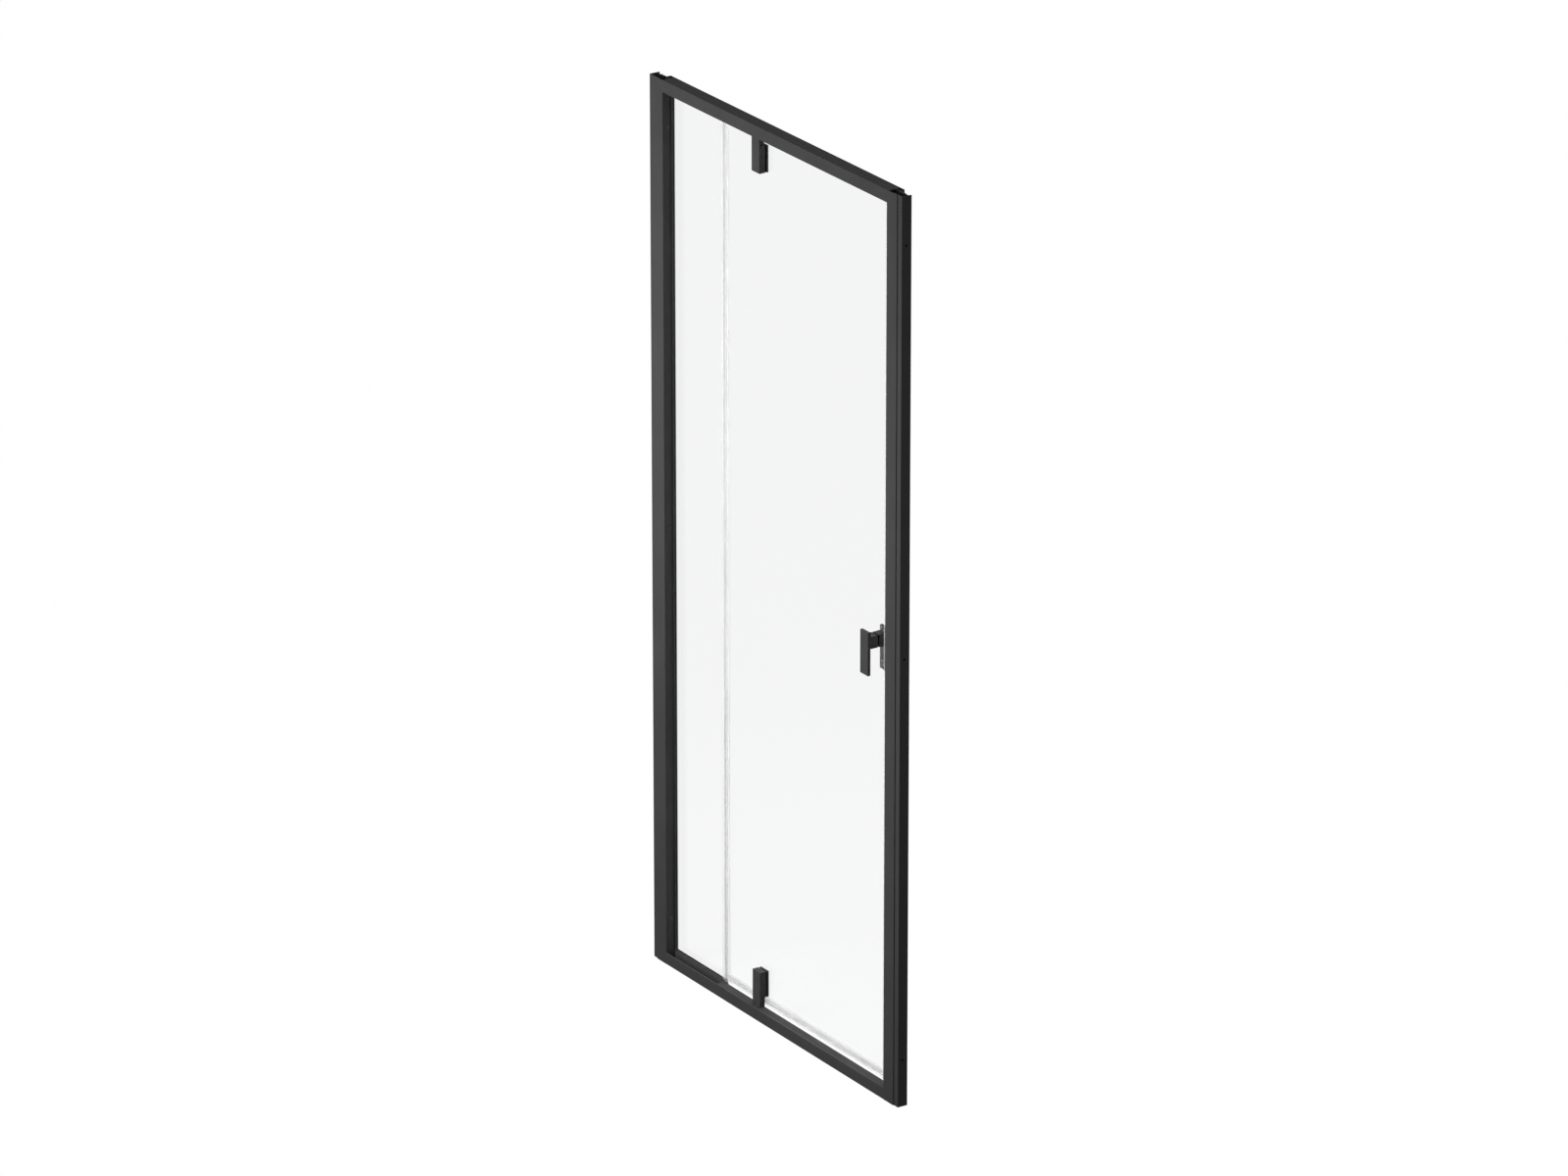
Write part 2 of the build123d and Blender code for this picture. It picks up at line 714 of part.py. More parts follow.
# Heights of the two pivots: each is measured from the rail's face into the doorway
bottom_face = sill_level + pivot_gap
top_face = head_level - pivot_gap
pivots = ((bottom_face, 1), (top_face, -1))
clamp_low = pivot_notch_height + clamp_screw_low
clamp_heights = (clamp_low, clamp_low + clamp_screw_spacing)
clamp_levels = [face + way * height for face, way in pivots for height in clamp_heights]

# Door glass: toughened pane with two holes at each pivot and one for the handle
with BuildPart() as door_glass:
    slab(
        (door_glass_left, door_glass_right),
        (-half_glass, half_glass),
        (door_glass_bottom, door_glass_top),
    )
    for level in clamp_levels:
        hole = Plane((pivot_x, -half_glass, level), z_dir=(0, 1, 0))
        rod(hole, glass_hole_radius, glass_thickness, Mode.SUBTRACT)
    hole = Plane((handle_x, -half_glass, stud_level), z_dir=(0, 1, 0))
    rod(hole, glass_hole_radius, glass_thickness, Mode.SUBTRACT)
door_glass.part.label = "door_glass"
export_step(door_glass.part, "parts/door_glass.step")


# Pivot blocks: the bodies in front of the glass that carry the pins
def pivot_block_shape(face, way):
    """Block with a notch over the door's seal, and its pin, clamp and grub screw holes."""
    far = face + way * pivot_height
    slab(pivot_sides, (-pivot_front, -clamp_face), (min(face, far), max(face, far)))
    uprights = edges().filter_by(Axis.Z).group_by(Axis.Y)[0]
    ends = faces().filter_by(Axis.Z).sort_by(Axis.Z)
    free_end = ends[-1] if way > 0 else ends[0]
    fillet(uprights + free_end.edges().group_by(Axis.Y)[0], pivot_edge)
    notch = face + way * pivot_notch_height
    notch_span = (min(face, notch), max(face, notch))
    slab(pivot_sides, (-clamp_face - pivot_notch_depth, -clamp_face), notch_span, Mode.SUBTRACT)
    bore = Plane((pivot_x, pivot_y, face), z_dir=(0, 0, way))
    rod(bore, pivot_pin_radius + thread_clearance, pin_in_block, Mode.SUBTRACT)
    grub_place = Plane(
        (pivot_x, pivot_y, face + way * grub_from_end),
        z_dir=(1, 0, 0),
    )
    rod(grub_place, grub_radius + thread_clearance, pivot_width / 2, Mode.SUBTRACT)
    for height in clamp_heights:
        clamp_place = Plane((pivot_x, -clamp_face, face + way * height), z_dir=(0, -1, 0))
        depth = clamp_screw_length - clamp_plate - 2 * clamp_gasket - glass_thickness
        rod(clamp_place, clamp_screw_radius + thread_clearance, depth + pin_end_gap, Mode.SUBTRACT)


with BuildPart() as bottom_pivot_block:
    pivot_block_shape(bottom_face, 1)
bottom_pivot_block.part.label = "bottom_pivot_block"
export_step(bottom_pivot_block.part, "parts/bottom_pivot_block.step")

with BuildPart() as top_pivot_block:
    pivot_block_shape(top_face, -1)
top_pivot_block.part.label = "top_pivot_block"
export_step(top_pivot_block.part, "parts/top_pivot_block.step")


# Clamp plates: behind the glass, drawn to the blocks by two screws each
def clamp_span(face, way):
    """The height that block and plate share on the glass, low end first."""
    ends = (face + way * pivot_notch_height, face + way * pivot_height)
    return min(ends), max(ends)


def clamp_plate_shape(face, way):
    """Flat plate with countersunk holes and softened rear edges."""
    slab(pivot_sides, (clamp_face, clamp_face + clamp_plate), clamp_span(face, way))
    fillet(edges().group_by(Axis.Y)[-1], pivot_edge)
    for height in clamp_heights:
        back = clamp_face + clamp_plate
        with Locations(Plane((pivot_x, back, face + way * height), z_dir=(0, 1, 0))):
            CounterSinkHole(
                clamp_screw_radius + sleeve_clearance,
                clamp_head_radius + sleeve_clearance,
                depth=clamp_plate,
            )


with BuildPart() as bottom_pivot_clamp_plate:
    clamp_plate_shape(bottom_face, 1)
bottom_pivot_clamp_plate.part.label = "bottom_pivot_clamp_plate"
export_step(bottom_pivot_clamp_plate.part, "parts/bottom_pivot_clamp_plate.step")

with BuildPart() as top_pivot_clamp_plate:
    clamp_plate_shape(top_face, -1)
top_pivot_clamp_plate.part.label = "top_pivot_clamp_plate"
export_step(top_pivot_clamp_plate.part, "parts/top_pivot_clamp_plate.step")

# Pivot gaskets: thin rubber sheets between metal and glass
with BuildPart() as pivot_gaskets:
    for face, way in pivots:
        slab(pivot_sides, (-clamp_face, -half_glass), clamp_span(face, way))
        slab(pivot_sides, (half_glass, clamp_face), clamp_span(face, way))
    for level in clamp_levels:
        through = Plane((pivot_x, -clamp_face, level), z_dir=(0, 1, 0))
        rod(through, clamp_screw_radius + sleeve_clearance, 2 * clamp_face, Mode.SUBTRACT)
pivot_gaskets.part.label = "pivot_gaskets"
export_step(pivot_gaskets.part, "parts/pivot_gaskets.step")

# Sleeves: nylon rings that keep the clamp screws off the glass
with BuildPart() as pivot_glass_sleeves:
    for level in clamp_levels:
        sleeve_place = Plane((pivot_x, -half_glass, level), z_dir=(0, 1, 0))
        rod(sleeve_place, glass_hole_radius - sleeve_clearance, glass_thickness)
        bore_radius = clamp_screw_radius + sleeve_clearance
        rod(sleeve_place, bore_radius, glass_thickness, Mode.SUBTRACT)
pivot_glass_sleeves.part.label = "pivot_glass_sleeves"
export_step(pivot_glass_sleeves.part, "parts/pivot_glass_sleeves.step")

with BuildPart() as pivot_clamp_screws:
    for level in clamp_levels:
        countersunk_screw(
            Plane((pivot_x, clamp_face + clamp_plate, level), x_dir=(1, 0, 0), z_dir=(0, 1, 0)),
            clamp_screw_radius,
            clamp_screw_length,
            clamp_head_radius,
        )
pivot_clamp_screws.part.label = "pivot_clamp_screws"
export_step(pivot_clamp_screws.part, "parts/pivot_clamp_screws.step")


# Pivot pins: steel pins held in the blocks and running in the bearings
def pivot_pin_shape(face, way):
    """Round pin with a chamfered end in the bearing."""
    outer_end = face - way * pin_in_bearing
    inner_end = face + way * pin_in_block
    low_end = Plane((pivot_x, pivot_y, min(outer_end, inner_end)))
    rod(low_end, pivot_pin_radius, abs(inner_end - outer_end))
    rims = edges().filter_by(GeomType.CIRCLE).sort_by(Axis.Z)
    chamfer(rims[0] if way > 0 else rims[-1], pin_lead_chamfer)


with BuildPart() as bottom_pivot_pin:
    pivot_pin_shape(bottom_face, 1)
bottom_pivot_pin.part.label = "bottom_pivot_pin"
export_step(bottom_pivot_pin.part, "parts/bottom_pivot_pin.step")

with BuildPart() as top_pivot_pin:
    pivot_pin_shape(top_face, -1)
top_pivot_pin.part.label = "top_pivot_pin"
export_step(top_pivot_pin.part, "parts/top_pivot_pin.step")

with BuildPart() as pivot_grub_screws:
    for face, way in pivots:
        start = pivot_x + pivot_pin_radius + running_clearance
        grub_screw(
            Plane((start + grub_length, pivot_y, face + way * grub_from_end), z_dir=(1, 0, 0)),
            grub_radius,
            grub_length,
        )
pivot_grub_screws.part.label = "pivot_grub_screws"
export_step(pivot_grub_screws.part, "parts/pivot_grub_screws.step")


# Bearing blocks: nylon, inside the rails, with a boss that the door's weight turns on
def bearing_shape(seat, outer_wall, face, way):
    """T-shaped block between the screw ports, its boss standing out of the rail."""
    block_end = seat - way * bearing_height
    x_low = pivot_x - bearing_length / 2
    with BuildSketch(Plane.YZ.offset(x_low)) as section:
        front = box_inner_front + bearing_side_gap
        back = box_inner_back - bearing_side_gap
        wall_piece(front, back, seat, block_end)
        half_foot = bearing_foot_width / 2
        wall_piece(bearing_mid_y - half_foot, bearing_mid_y + half_foot, seat, outer_wall)
    extrude(section.sketch, amount=bearing_length)
    boss_top = face + way * bearing_boss_stand
    boss = Plane((pivot_x, pivot_y, seat), z_dir=(0, 0, way))
    rod(boss, bearing_boss_radius, abs(boss_top - seat))
    pin_end = face + way * (pivot_gap - pin_in_bearing - pin_end_gap)
    bore = Plane((pivot_x, pivot_y, pin_end), z_dir=(0, 0, way))
    bore_length = abs(boss_top - pin_end)
    rod(bore, pivot_pin_radius + running_clearance, bore_length, Mode.SUBTRACT)


def bearing_screw_bores(level, up):
    """Screw holes up the foot of the block from the rail's outer face."""
    for offset in (-bearing_screw_offset, bearing_screw_offset):
        place = Plane((pivot_x + offset, bearing_mid_y, level), z_dir=(0, 0, up))
        rod(place, bearing_screw_radius + thread_clearance, bearing_screw_length, Mode.SUBTRACT)


bottom_seat = sill_level - cover_thickness - cover_ledge_height - cover_gap
top_seat = head_level + frame_wall
with BuildPart() as bottom_bearing_block:
    bearing_shape(bottom_seat, frame_wall, sill_level, 1)
    bearing_screw_bores(0, 1)
bottom_bearing_block.part.label = "bottom_bearing_block"
export_step(bottom_bearing_block.part, "parts/bottom_bearing_block.step")

with BuildPart() as top_bearing_block:
    bearing_shape(top_seat, overall_height - frame_wall, head_level, -1)
    bearing_screw_bores(head_level, 1)
top_bearing_block.part.label = "top_bearing_block"
export_step(top_bearing_block.part, "parts/top_bearing_block.step")

with BuildPart() as bearing_screws:
    for level in (0, head_level):
        for offset in (-bearing_screw_offset, bearing_screw_offset):
            countersunk_screw(
                Plane((pivot_x + offset, bearing_mid_y, level), x_dir=(1, 0, 0), z_dir=(0, 0, -1)),
                bearing_screw_radius,
                bearing_screw_length,
                bearing_screw_head_radius,
            )
bearing_screws.part.label = "bearing_screws"
export_step(bearing_screws.part, "parts/bearing_screws.step")

with BuildPart() as pivot_washers:
    for level, way in ((sill_level, 1), (head_level, -1)):
        seat = level + way * bearing_boss_stand
        washer_place = Plane((pivot_x, pivot_y, seat), z_dir=(0, 0, way))
        rod(washer_place, bearing_boss_radius, washer_thickness)
        washer_bore = pivot_pin_radius + sleeve_clearance
        rod(washer_place, washer_bore, washer_thickness, Mode.SUBTRACT)
pivot_washers.part.label = "pivot_washers"
export_step(pivot_washers.part, "parts/pivot_washers.step")


# Handle: the same grip outside and inside, joined by one stud through the glass
def grip_shape(side):
    """Flat upright plate on a square stem, with the stud's bore and the grub screw's hole."""
    grip_sides = (handle_x - handle_width / 2, handle_x + handle_width / 2)
    plate_faces = (side * grip_inner, side * grip_outer)
    slab(grip_sides, plate_faces, (handle_bottom, handle_bottom + handle_height))
    rim = edges().group_by(Axis.Y)[-1 if side > 0 else 0]
    uprights = edges().filter_by(Axis.Y)
    fillet(rim + uprights, handle_edge)
    stem_end = side * (half_glass + clamp_gasket)
    with BuildSketch(Plane.XZ.offset(-stem_end)) as stem:
        with Locations((handle_x, stud_level)):
            RectangleRounded(stem_width, stem_height, stem_edge)
    extrude(stem.sketch, amount=-side * (handle_stand - clamp_gasket))
    bore = Plane((handle_x, stem_end, stud_level), z_dir=(0, side, 0))
    bore_depth = stud_in_stem - clamp_gasket + stud_end_gap
    rod(bore, stud_radius + thread_clearance, bore_depth, Mode.SUBTRACT)
    grub_y = side * (half_glass + handle_grub_from_glass)
    grub_hole = Plane((handle_x, grub_y, stem_bottom), z_dir=(0, 0, 1))
    rod(grub_hole, handle_grub_radius + thread_clearance, stem_height / 2, Mode.SUBTRACT)


with BuildPart() as handle_outer_grip:
    grip_shape(-1)
handle_outer_grip.part.label = "handle_outer_grip"
export_step(handle_outer_grip.part, "parts/handle_outer_grip.step")

with BuildPart() as handle_inner_grip:
    grip_shape(1)
handle_inner_grip.part.label = "handle_inner_grip"
export_step(handle_inner_grip.part, "parts/handle_inner_grip.step")

with BuildPart() as handle_gaskets:
    for side in (-1, 1):
        gasket_faces = (side * half_glass, side * (half_glass + clamp_gasket))
        gasket_sides = (handle_x - stem_width / 2, handle_x + stem_width / 2)
        slab(gasket_sides, gasket_faces, (stem_bottom, stem_top))
    through = Plane((handle_x, -half_glass - clamp_gasket, stud_level), z_dir=(0, 1, 0))
    rod(through, stud_radius + sleeve_clearance, 2 * (half_glass + clamp_gasket), Mode.SUBTRACT)
handle_gaskets.part.label = "handle_gaskets"
export_step(handle_gaskets.part, "parts/handle_gaskets.step")

with BuildPart() as handle_glass_sleeve:
    sleeve_place = Plane((handle_x, -half_glass, stud_level), z_dir=(0, 1, 0))
    rod(sleeve_place, glass_hole_radius - sleeve_clearance, glass_thickness)
    rod(sleeve_place, stud_radius + sleeve_clearance, glass_thickness, Mode.SUBTRACT)
handle_glass_sleeve.part.label = "handle_glass_sleeve"
export_step(handle_glass_sleeve.part, "parts/handle_glass_sleeve.step")

with BuildPart() as handle_stud:
    stud_reach = half_glass + stud_in_stem
    rod(Plane((handle_x, -stud_reach, stud_level), z_dir=(0, 1, 0)), stud_radius, 2 * stud_reach)
    chamfer(edges().filter_by(GeomType.CIRCLE), pin_lead_chamfer)
handle_stud.part.label = "handle_stud"
export_step(handle_stud.part, "parts/handle_stud.step")

with BuildPart() as handle_grub_screws:
    for side in (-1, 1):
        grub_y = side * (half_glass + handle_grub_from_glass)
        screw_top = stud_level - stud_radius - running_clearance
        grub_screw(
            Plane((handle_x, grub_y, screw_top - handle_grub_length), z_dir=(0, 0, -1)),
            handle_grub_radius,
            handle_grub_length,
        )
handle_grub_screws.part.label = "handle_grub_screws"
export_step(handle_grub_screws.part, "parts/handle_grub_screws.step")

print("front", round(frame_front, 2), "back", round(frame_back, 2), "opening", round(2 * jamb_inner, 2))
print("pivot axis", round(pivot_x, 2), round(pivot_y, 2), "handle", round(handle_x, 2))
print("leaf", round(leaf_left, 2), round(leaf_right, 2), "glass", door_glass_left, door_glass_right)
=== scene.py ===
# %% [markdown]
# # Pivot shower door
# The door arrives as 43 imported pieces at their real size: a black powder-coated frame, a narrow
# fixed pane, and a glass leaf that turns on two inset pivots. Nothing here moves or resizes them.
# This lesson gives each of them its finish, and makes again the pieces whose real form is softer
# than a machined solid: the clear plastic seals, the moulded caps and the screws.

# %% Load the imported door
import json
import math

import bmesh
import bpy
from mathutils import Matrix, Vector


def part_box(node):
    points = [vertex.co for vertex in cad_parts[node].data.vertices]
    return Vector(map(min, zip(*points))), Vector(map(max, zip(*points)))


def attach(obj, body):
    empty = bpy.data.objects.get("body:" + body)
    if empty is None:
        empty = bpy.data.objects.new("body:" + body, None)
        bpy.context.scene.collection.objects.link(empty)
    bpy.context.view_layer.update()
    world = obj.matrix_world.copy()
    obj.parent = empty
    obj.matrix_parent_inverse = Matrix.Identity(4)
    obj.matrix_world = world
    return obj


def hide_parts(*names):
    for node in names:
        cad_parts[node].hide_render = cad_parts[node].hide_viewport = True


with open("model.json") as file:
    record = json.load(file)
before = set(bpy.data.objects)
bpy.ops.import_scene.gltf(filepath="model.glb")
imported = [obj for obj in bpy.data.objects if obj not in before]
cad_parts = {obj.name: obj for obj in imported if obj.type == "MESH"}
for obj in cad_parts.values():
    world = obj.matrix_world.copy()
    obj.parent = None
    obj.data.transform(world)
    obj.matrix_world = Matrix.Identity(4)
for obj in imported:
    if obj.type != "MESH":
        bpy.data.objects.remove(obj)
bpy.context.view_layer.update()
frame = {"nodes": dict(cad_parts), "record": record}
mm = 0.001

# %% [markdown]
# ## Camera
# The photograph was taken from far away, from the closing side and a little above. A long lens
# keeps the uprights almost parallel. The numbers come from fitting the frame's straight edges,
# with no lens shift, so that the same camera can be carried round the door.

# %% Set up the camera
camera_azimuth = math.radians(56.987)
camera_elevation = math.radians(21.194)
camera_distance = 18.97575
camera_target = Vector((0.00147, 0.0, 0.9505))
camera_back = Vector(
    (
        math.sin(camera_azimuth) * math.cos(camera_elevation),
        -math.cos(camera_azimuth) * math.cos(camera_elevation),
        math.sin(camera_elevation),
    )
)
camera_data = bpy.data.cameras.new("camera")
camera_data.sensor_width = 36.0
camera_data.lens = 220.256
camera_data.clip_end = 100.0
camera = bpy.data.objects.new("camera", camera_data)
camera.location = camera_target + camera_distance * camera_back
camera.rotation_euler = camera_back.to_track_quat("Z", "Y").to_euler()
bpy.context.scene.collection.objects.link(camera)
bpy.context.scene.camera = camera
print("camera at", [round(value, 2) for value in camera.location])

# %% [markdown]
# ## Light
# Black paint shows its form only by small steps of grey, so the light is kept broad and simple.
# A pale world fills every side. A large lamp high on the outer left brightens the front faces,
# their tops more than their feet, one behind does the same for the back, and a weak one on the
# right keeps the sides from going flat.

# %% Put up the lamps
scene = bpy.context.scene
scene.view_settings.view_transform = "Standard"


def soft_lamp(name, place, aim, size, power, spread):
    """A square lamp that looks from its place at a point, its beam held in by a grid."""
    data = bpy.data.lights.new(name, "AREA")
    data.size = size
    data.energy = power
    data.spread = math.radians(spread)
    lamp = bpy.data.objects.new(name, data)
    lamp.location = place
    lamp.rotation_euler = (Vector(place) - Vector(aim)).to_track_quat("Z", "Y").to_euler()
    scene.collection.objects.link(lamp)
    return lamp


key_lamp = soft_lamp("key_lamp", (-0.75, -2.3, 1.8), (0.0, 0.0, 1.05), 0.8, 19.0, 96.0)
back_lamp = soft_lamp("back_lamp", (-0.7, 2.3, 1.8), (-0.05, 0.0, 1.0), 0.8, 13.0, 100.0)
side_lamp = soft_lamp("side_lamp", (2.6, -0.4, 1.5), (0.2, 0.0, 1.2), 0.9, 1.1, 90.0)
print("lamps", key_lamp.name, back_lamp.name, side_lamp.name)

# %% [markdown]
# ## World and floor
# The background is plain white. The world is white only for the camera, for mirrored rays and
# for rays that have passed the glass, and dimmer for the light that it sheds. The floor glows for
# the same rays alone, so its glow lights no piece. Its dark paint takes the lamps' light on top of
# the glow, so it still shows the door's shadow.

# %% Make the world white where it is looked at
world_light = 0.27
world = bpy.data.worlds.new("studio")
world.use_nodes = True
scene.world = world


def seen_directly(tree):
    """1 for a ray from the camera, a mirror or through glass, and 0 for any other."""
    path = tree.nodes.new("ShaderNodeLightPath")
    socket = path.outputs["Is Camera Ray"]
    for name in ("Is Glossy Ray", "Is Transmission Ray"):
        either = tree.nodes.new("ShaderNodeMath")
        either.operation = "MAXIMUM"
        tree.links.new(socket, either.inputs[0])
        tree.links.new(path.outputs[name], either.inputs[1])
        socket = either.outputs["Value"]
    return socket


world_tree = world.node_tree
world_strength = world_tree.nodes.new("ShaderNodeMapRange")
world_strength.inputs["To Min"].default_value = world_light
world_strength.inputs["To Max"].default_value = 1.0
world_tree.links.new(seen_directly(world_tree), world_strength.inputs["Value"])
background = world_tree.nodes["Background"]
background.inputs["Color"].default_value = (1.0, 1.0, 1.0, 1.0)
world_tree.links.new(world_strength.outputs["Result"], background.inputs["Strength"])
print("world sheds", world_light)

# %% Lay the floor
floor_size = 60.0
floor_drop = 0.05 * mm
floor_colour = 0.045
floor_own_light = 0.984
bpy.ops.mesh.primitive_plane_add(size=floor_size, location=(0.0, 0.0, -floor_drop))
floor = bpy.context.object
floor.name = "floor"
floor_material = bpy.data.materials.new("floor")
floor_material.use_nodes = True
floor_tree = floor_material.node_tree
floor_tree.nodes.clear()
floor_paint = floor_tree.nodes.new("ShaderNodeBsdfDiffuse")
floor_paint.inputs["Color"].default_value = (floor_colour, floor_colour, floor_colour, 1.0)
floor_glow = floor_tree.nodes.new("ShaderNodeEmission")
floor_level = floor_tree.nodes.new("ShaderNodeMath")
floor_level.operation = "MULTIPLY"
floor_level.inputs[1].default_value = floor_own_light
floor_sum = floor_tree.nodes.new("ShaderNodeAddShader")
floor_out = floor_tree.nodes.new("ShaderNodeOutputMaterial")
floor_tree.links.new(seen_directly(floor_tree), floor_level.inputs[0])
floor_tree.links.new(floor_level.outputs["Value"], floor_glow.inputs["Strength"])
floor_tree.links.new(floor_paint.outputs["BSDF"], floor_sum.inputs[0])
floor_tree.links.new(floor_glow.outputs["Emission"], floor_sum.inputs[1])
floor_tree.links.new(floor_sum.outputs["Shader"], floor_out.inputs["Surface"])
floor.data.materials.append(floor_material)
print("floor", floor_size, "m")

# %% [markdown]
# ## Building finishes from nodes
# Every finish starts from one Principled shader. What is the same all over is written straight
# on its sockets. What varies, such as grain, clouding and fine bumps, comes from noise in the
# piece's own coordinates, in metres, so a grain has the same size on every piece.

# %% Write the helpers for finishes
finishes = {}
edge_samples = 6
edge_turned = 0.8
edge_unturned = 0.99


def new_finish(slot, **plain):
    """A material for a slot with its shader's plain values; returns its tree and shader."""
    made = bpy.data.materials.new(slot)
    made.use_nodes = True
    shader = made.node_tree.nodes["Principled BSDF"]
    for name, value in plain.items():
        shader.inputs[name.replace("_", " ")].default_value = value
    finishes[slot] = made
    return made.node_tree, shader


def object_place(tree, stretch=(1.0, 1.0, 1.0)):
    """The piece's own coordinates, stretched along its axes."""
    place = tree.nodes.new("ShaderNodeTexCoord")
    mapping = tree.nodes.new("ShaderNodeMapping")
    mapping.inputs["Scale"].default_value = stretch
    tree.links.new(place.outputs["Object"], mapping.inputs["Vector"])
    return mapping.outputs["Vector"]


def noise(tree, place, grain, detail=2.0, roughness=0.5):
    """Noise whose lumps are about one grain across, in metres."""
    made = tree.nodes.new("ShaderNodeTexNoise")
    made.inputs["Scale"].default_value = 1.0 / grain
    made.inputs["Detail"].default_value = detail
    made.inputs["Roughness"].default_value = roughness
    tree.links.new(place, made.inputs["Vector"])
    return made.outputs["Fac"]


def spread(tree, value, low, high, start=0.3, end=0.7):
    """Carries a value from one range to another and stops at its ends."""
    made = tree.nodes.new("ShaderNodeMapRange")
    made.inputs["From Min"].default_value = start
    made.inputs["From Max"].default_value = end
    made.inputs["To Min"].default_value = low
    made.inputs["To Max"].default_value = high
    tree.links.new(value, made.inputs["Value"])
    return made.outputs["Result"]


def blend_colours(tree, share, first, second):
    """Goes from one colour to another as the share goes from 0 to 1."""
    made = tree.nodes.new("ShaderNodeMix")
    made.data_type = "RGBA"
    tree.links.new(share, made.inputs["Factor"])
    for socket, colour in ((made.inputs[6], first), (made.inputs[7], second)):
        if isinstance(colour, bpy.types.NodeSocket):
            tree.links.new(colour, socket)
        else:
            socket.default_value = (*colour, 1.0)
    return made.outputs[2]


def relief(tree, heights):
    """Bumps from (height socket, depth in metres) pairs, finest last; returns the normal."""
    normal = None
    for height, depth in heights:
        bump = tree.nodes.new("ShaderNodeBump")
        bump.inputs["Strength"].default_value = 1.0
        bump.inputs["Distance"].default_value = depth
        tree.links.new(height, bump.inputs["Height"])
        if normal is not None:
            tree.links.new(normal, bump.inputs["Normal"])
        normal = bump.outputs["Normal"]
    return normal


def edge_share(tree, width):
    """1 on a sharp edge, falling to 0 a width away, from how far a rounded normal turns."""
    rounded = tree.nodes.new("ShaderNodeBevel")
    rounded.samples = edge_samples
    rounded.inputs["Radius"].default_value = width
    flat = tree.nodes.new("ShaderNodeNewGeometry")
    agree = tree.nodes.new("ShaderNodeVectorMath")
    agree.operation = "DOT_PRODUCT"
    tree.links.new(rounded.outputs["Normal"], agree.inputs[0])
    tree.links.new(flat.outputs["True Normal"], agree.inputs[1])
    return spread(tree, agree.outputs["Value"], 1.0, 0.0, edge_turned, edge_unturned)


print("helpers ready")

# %% [markdown]
# ## Black powder coat
# The frame is extruded aluminium with a baked-on polyester powder. Close to, such paint is not
# smooth: the powder melts into low hills a few millimetres wide, with a fine sand on top that
# breaks up the shine. The colour is a very dark grey that clouds slightly from one hand's
# breadth to the next. Every edge and thin lip is painted a fine lighter line. It is partly rubbed
# wear where the coat is thin, and partly a painted highlight for the light that edges catch.

# %% Mix the powder coat for the frame
powder_dark = (0.064, 0.064, 0.0655)
powder_light = (0.073, 0.073, 0.0745)
powder_fleck = (0.088, 0.088, 0.090)
# The lighter grey painted on edges, as wear and as a painted highlight
powder_edge_wear_and_highlight = (0.15, 0.15, 0.152)
powder_edge = 0.9 * mm
cloud_grain = 90 * mm
hill_grain = 3.2 * mm
hill_height = 0.02 * mm
sand_grain = 0.7 * mm
sand_height = 0.035 * mm
tree, shader = new_finish("black_frame", Specular_IOR_Level=0.02)
place = object_place(tree)
clouds = spread(tree, noise(tree, place, cloud_grain, 3.0), 0.0, 1.0)
sand = noise(tree, place, sand_grain, 3.0, 0.6)
hills = noise(tree, place, hill_grain, 1.0)
tone = blend_colours(tree, clouds, powder_dark, powder_light)
flecks = spread(tree, sand, 0.0, 1.0, 0.56, 0.72)
flecked = blend_colours(tree, flecks, tone, powder_fleck)
# Painted highlight and wear: the bevel mask lifts every edge to a lighter grey
worn_and_highlit = blend_colours(tree, edge_share(tree, powder_edge), flecked, powder_edge_wear_and_highlight)
tree.links.new(worn_and_highlit, shader.inputs["Base Color"])
tree.links.new(spread(tree, sand, 0.52, 0.68), shader.inputs["Roughness"])
normal = relief(tree, [(hills, hill_height), (sand, sand_height)])
tree.links.new(normal, shader.inputs["Normal"])
print("finish black_frame")

# %% [markdown]
# ## Black hardware
# The pivots and the handle are small solid metal parts, coated in the same colour by a finer
# process. Their sand is finer and their sheen a little stronger, and a hand has polished the
# coat faintly in patches. Their edges are painted a lighter grey too, partly rubbed wear and
# partly a painted highlight.

# %% Coat the pivots and the handle
hardware_dark = (0.058, 0.058, 0.0595)
hardware_light = (0.067, 0.067, 0.0685)
# The lighter grey painted on edges, as wear and as a painted highlight
hardware_edge_wear_and_highlight = (0.13, 0.13, 0.132)
hardware_edge = 0.7 * mm
patch_grain = 22 * mm
fine_sand_grain = 0.45 * mm
fine_sand_height = 0.02 * mm
tree, shader = new_finish("black_hardware", Specular_IOR_Level=0.03)
place = object_place(tree)
patches = spread(tree, noise(tree, place, patch_grain, 3.0), 0.0, 1.0)
sand = noise(tree, place, fine_sand_grain, 2.0, 0.6)
tone = blend_colours(tree, patches, hardware_dark, hardware_light)
# Painted highlight and wear: the bevel mask lifts every edge to a lighter grey
worn_and_highlit = blend_colours(tree, edge_share(tree, hardware_edge), tone, hardware_edge_wear_and_highlight)
tree.links.new(worn_and_highlit, shader.inputs["Base Color"])
tree.links.new(spread(tree, patches, 0.36, 0.46, 0.0, 1.0), shader.inputs["Roughness"])
tree.links.new(relief(tree, [(sand, fine_sand_height)]), shader.inputs["Normal"])
print("finish black_hardware")

# %% [markdown]
# ## Clear glass
# Toughened glass, 5 mm thick, is flat and polished, with the faintest waviness from its
# furnace rollers. A shower pane is coated so that it mirrors little, which a low index of
# refraction copies: what stands behind it stays clear. Glass that has to bend light for the
# camera would also throw a caustic shadow, so rays from lamps pass straight through a tinted
# clear shader instead.

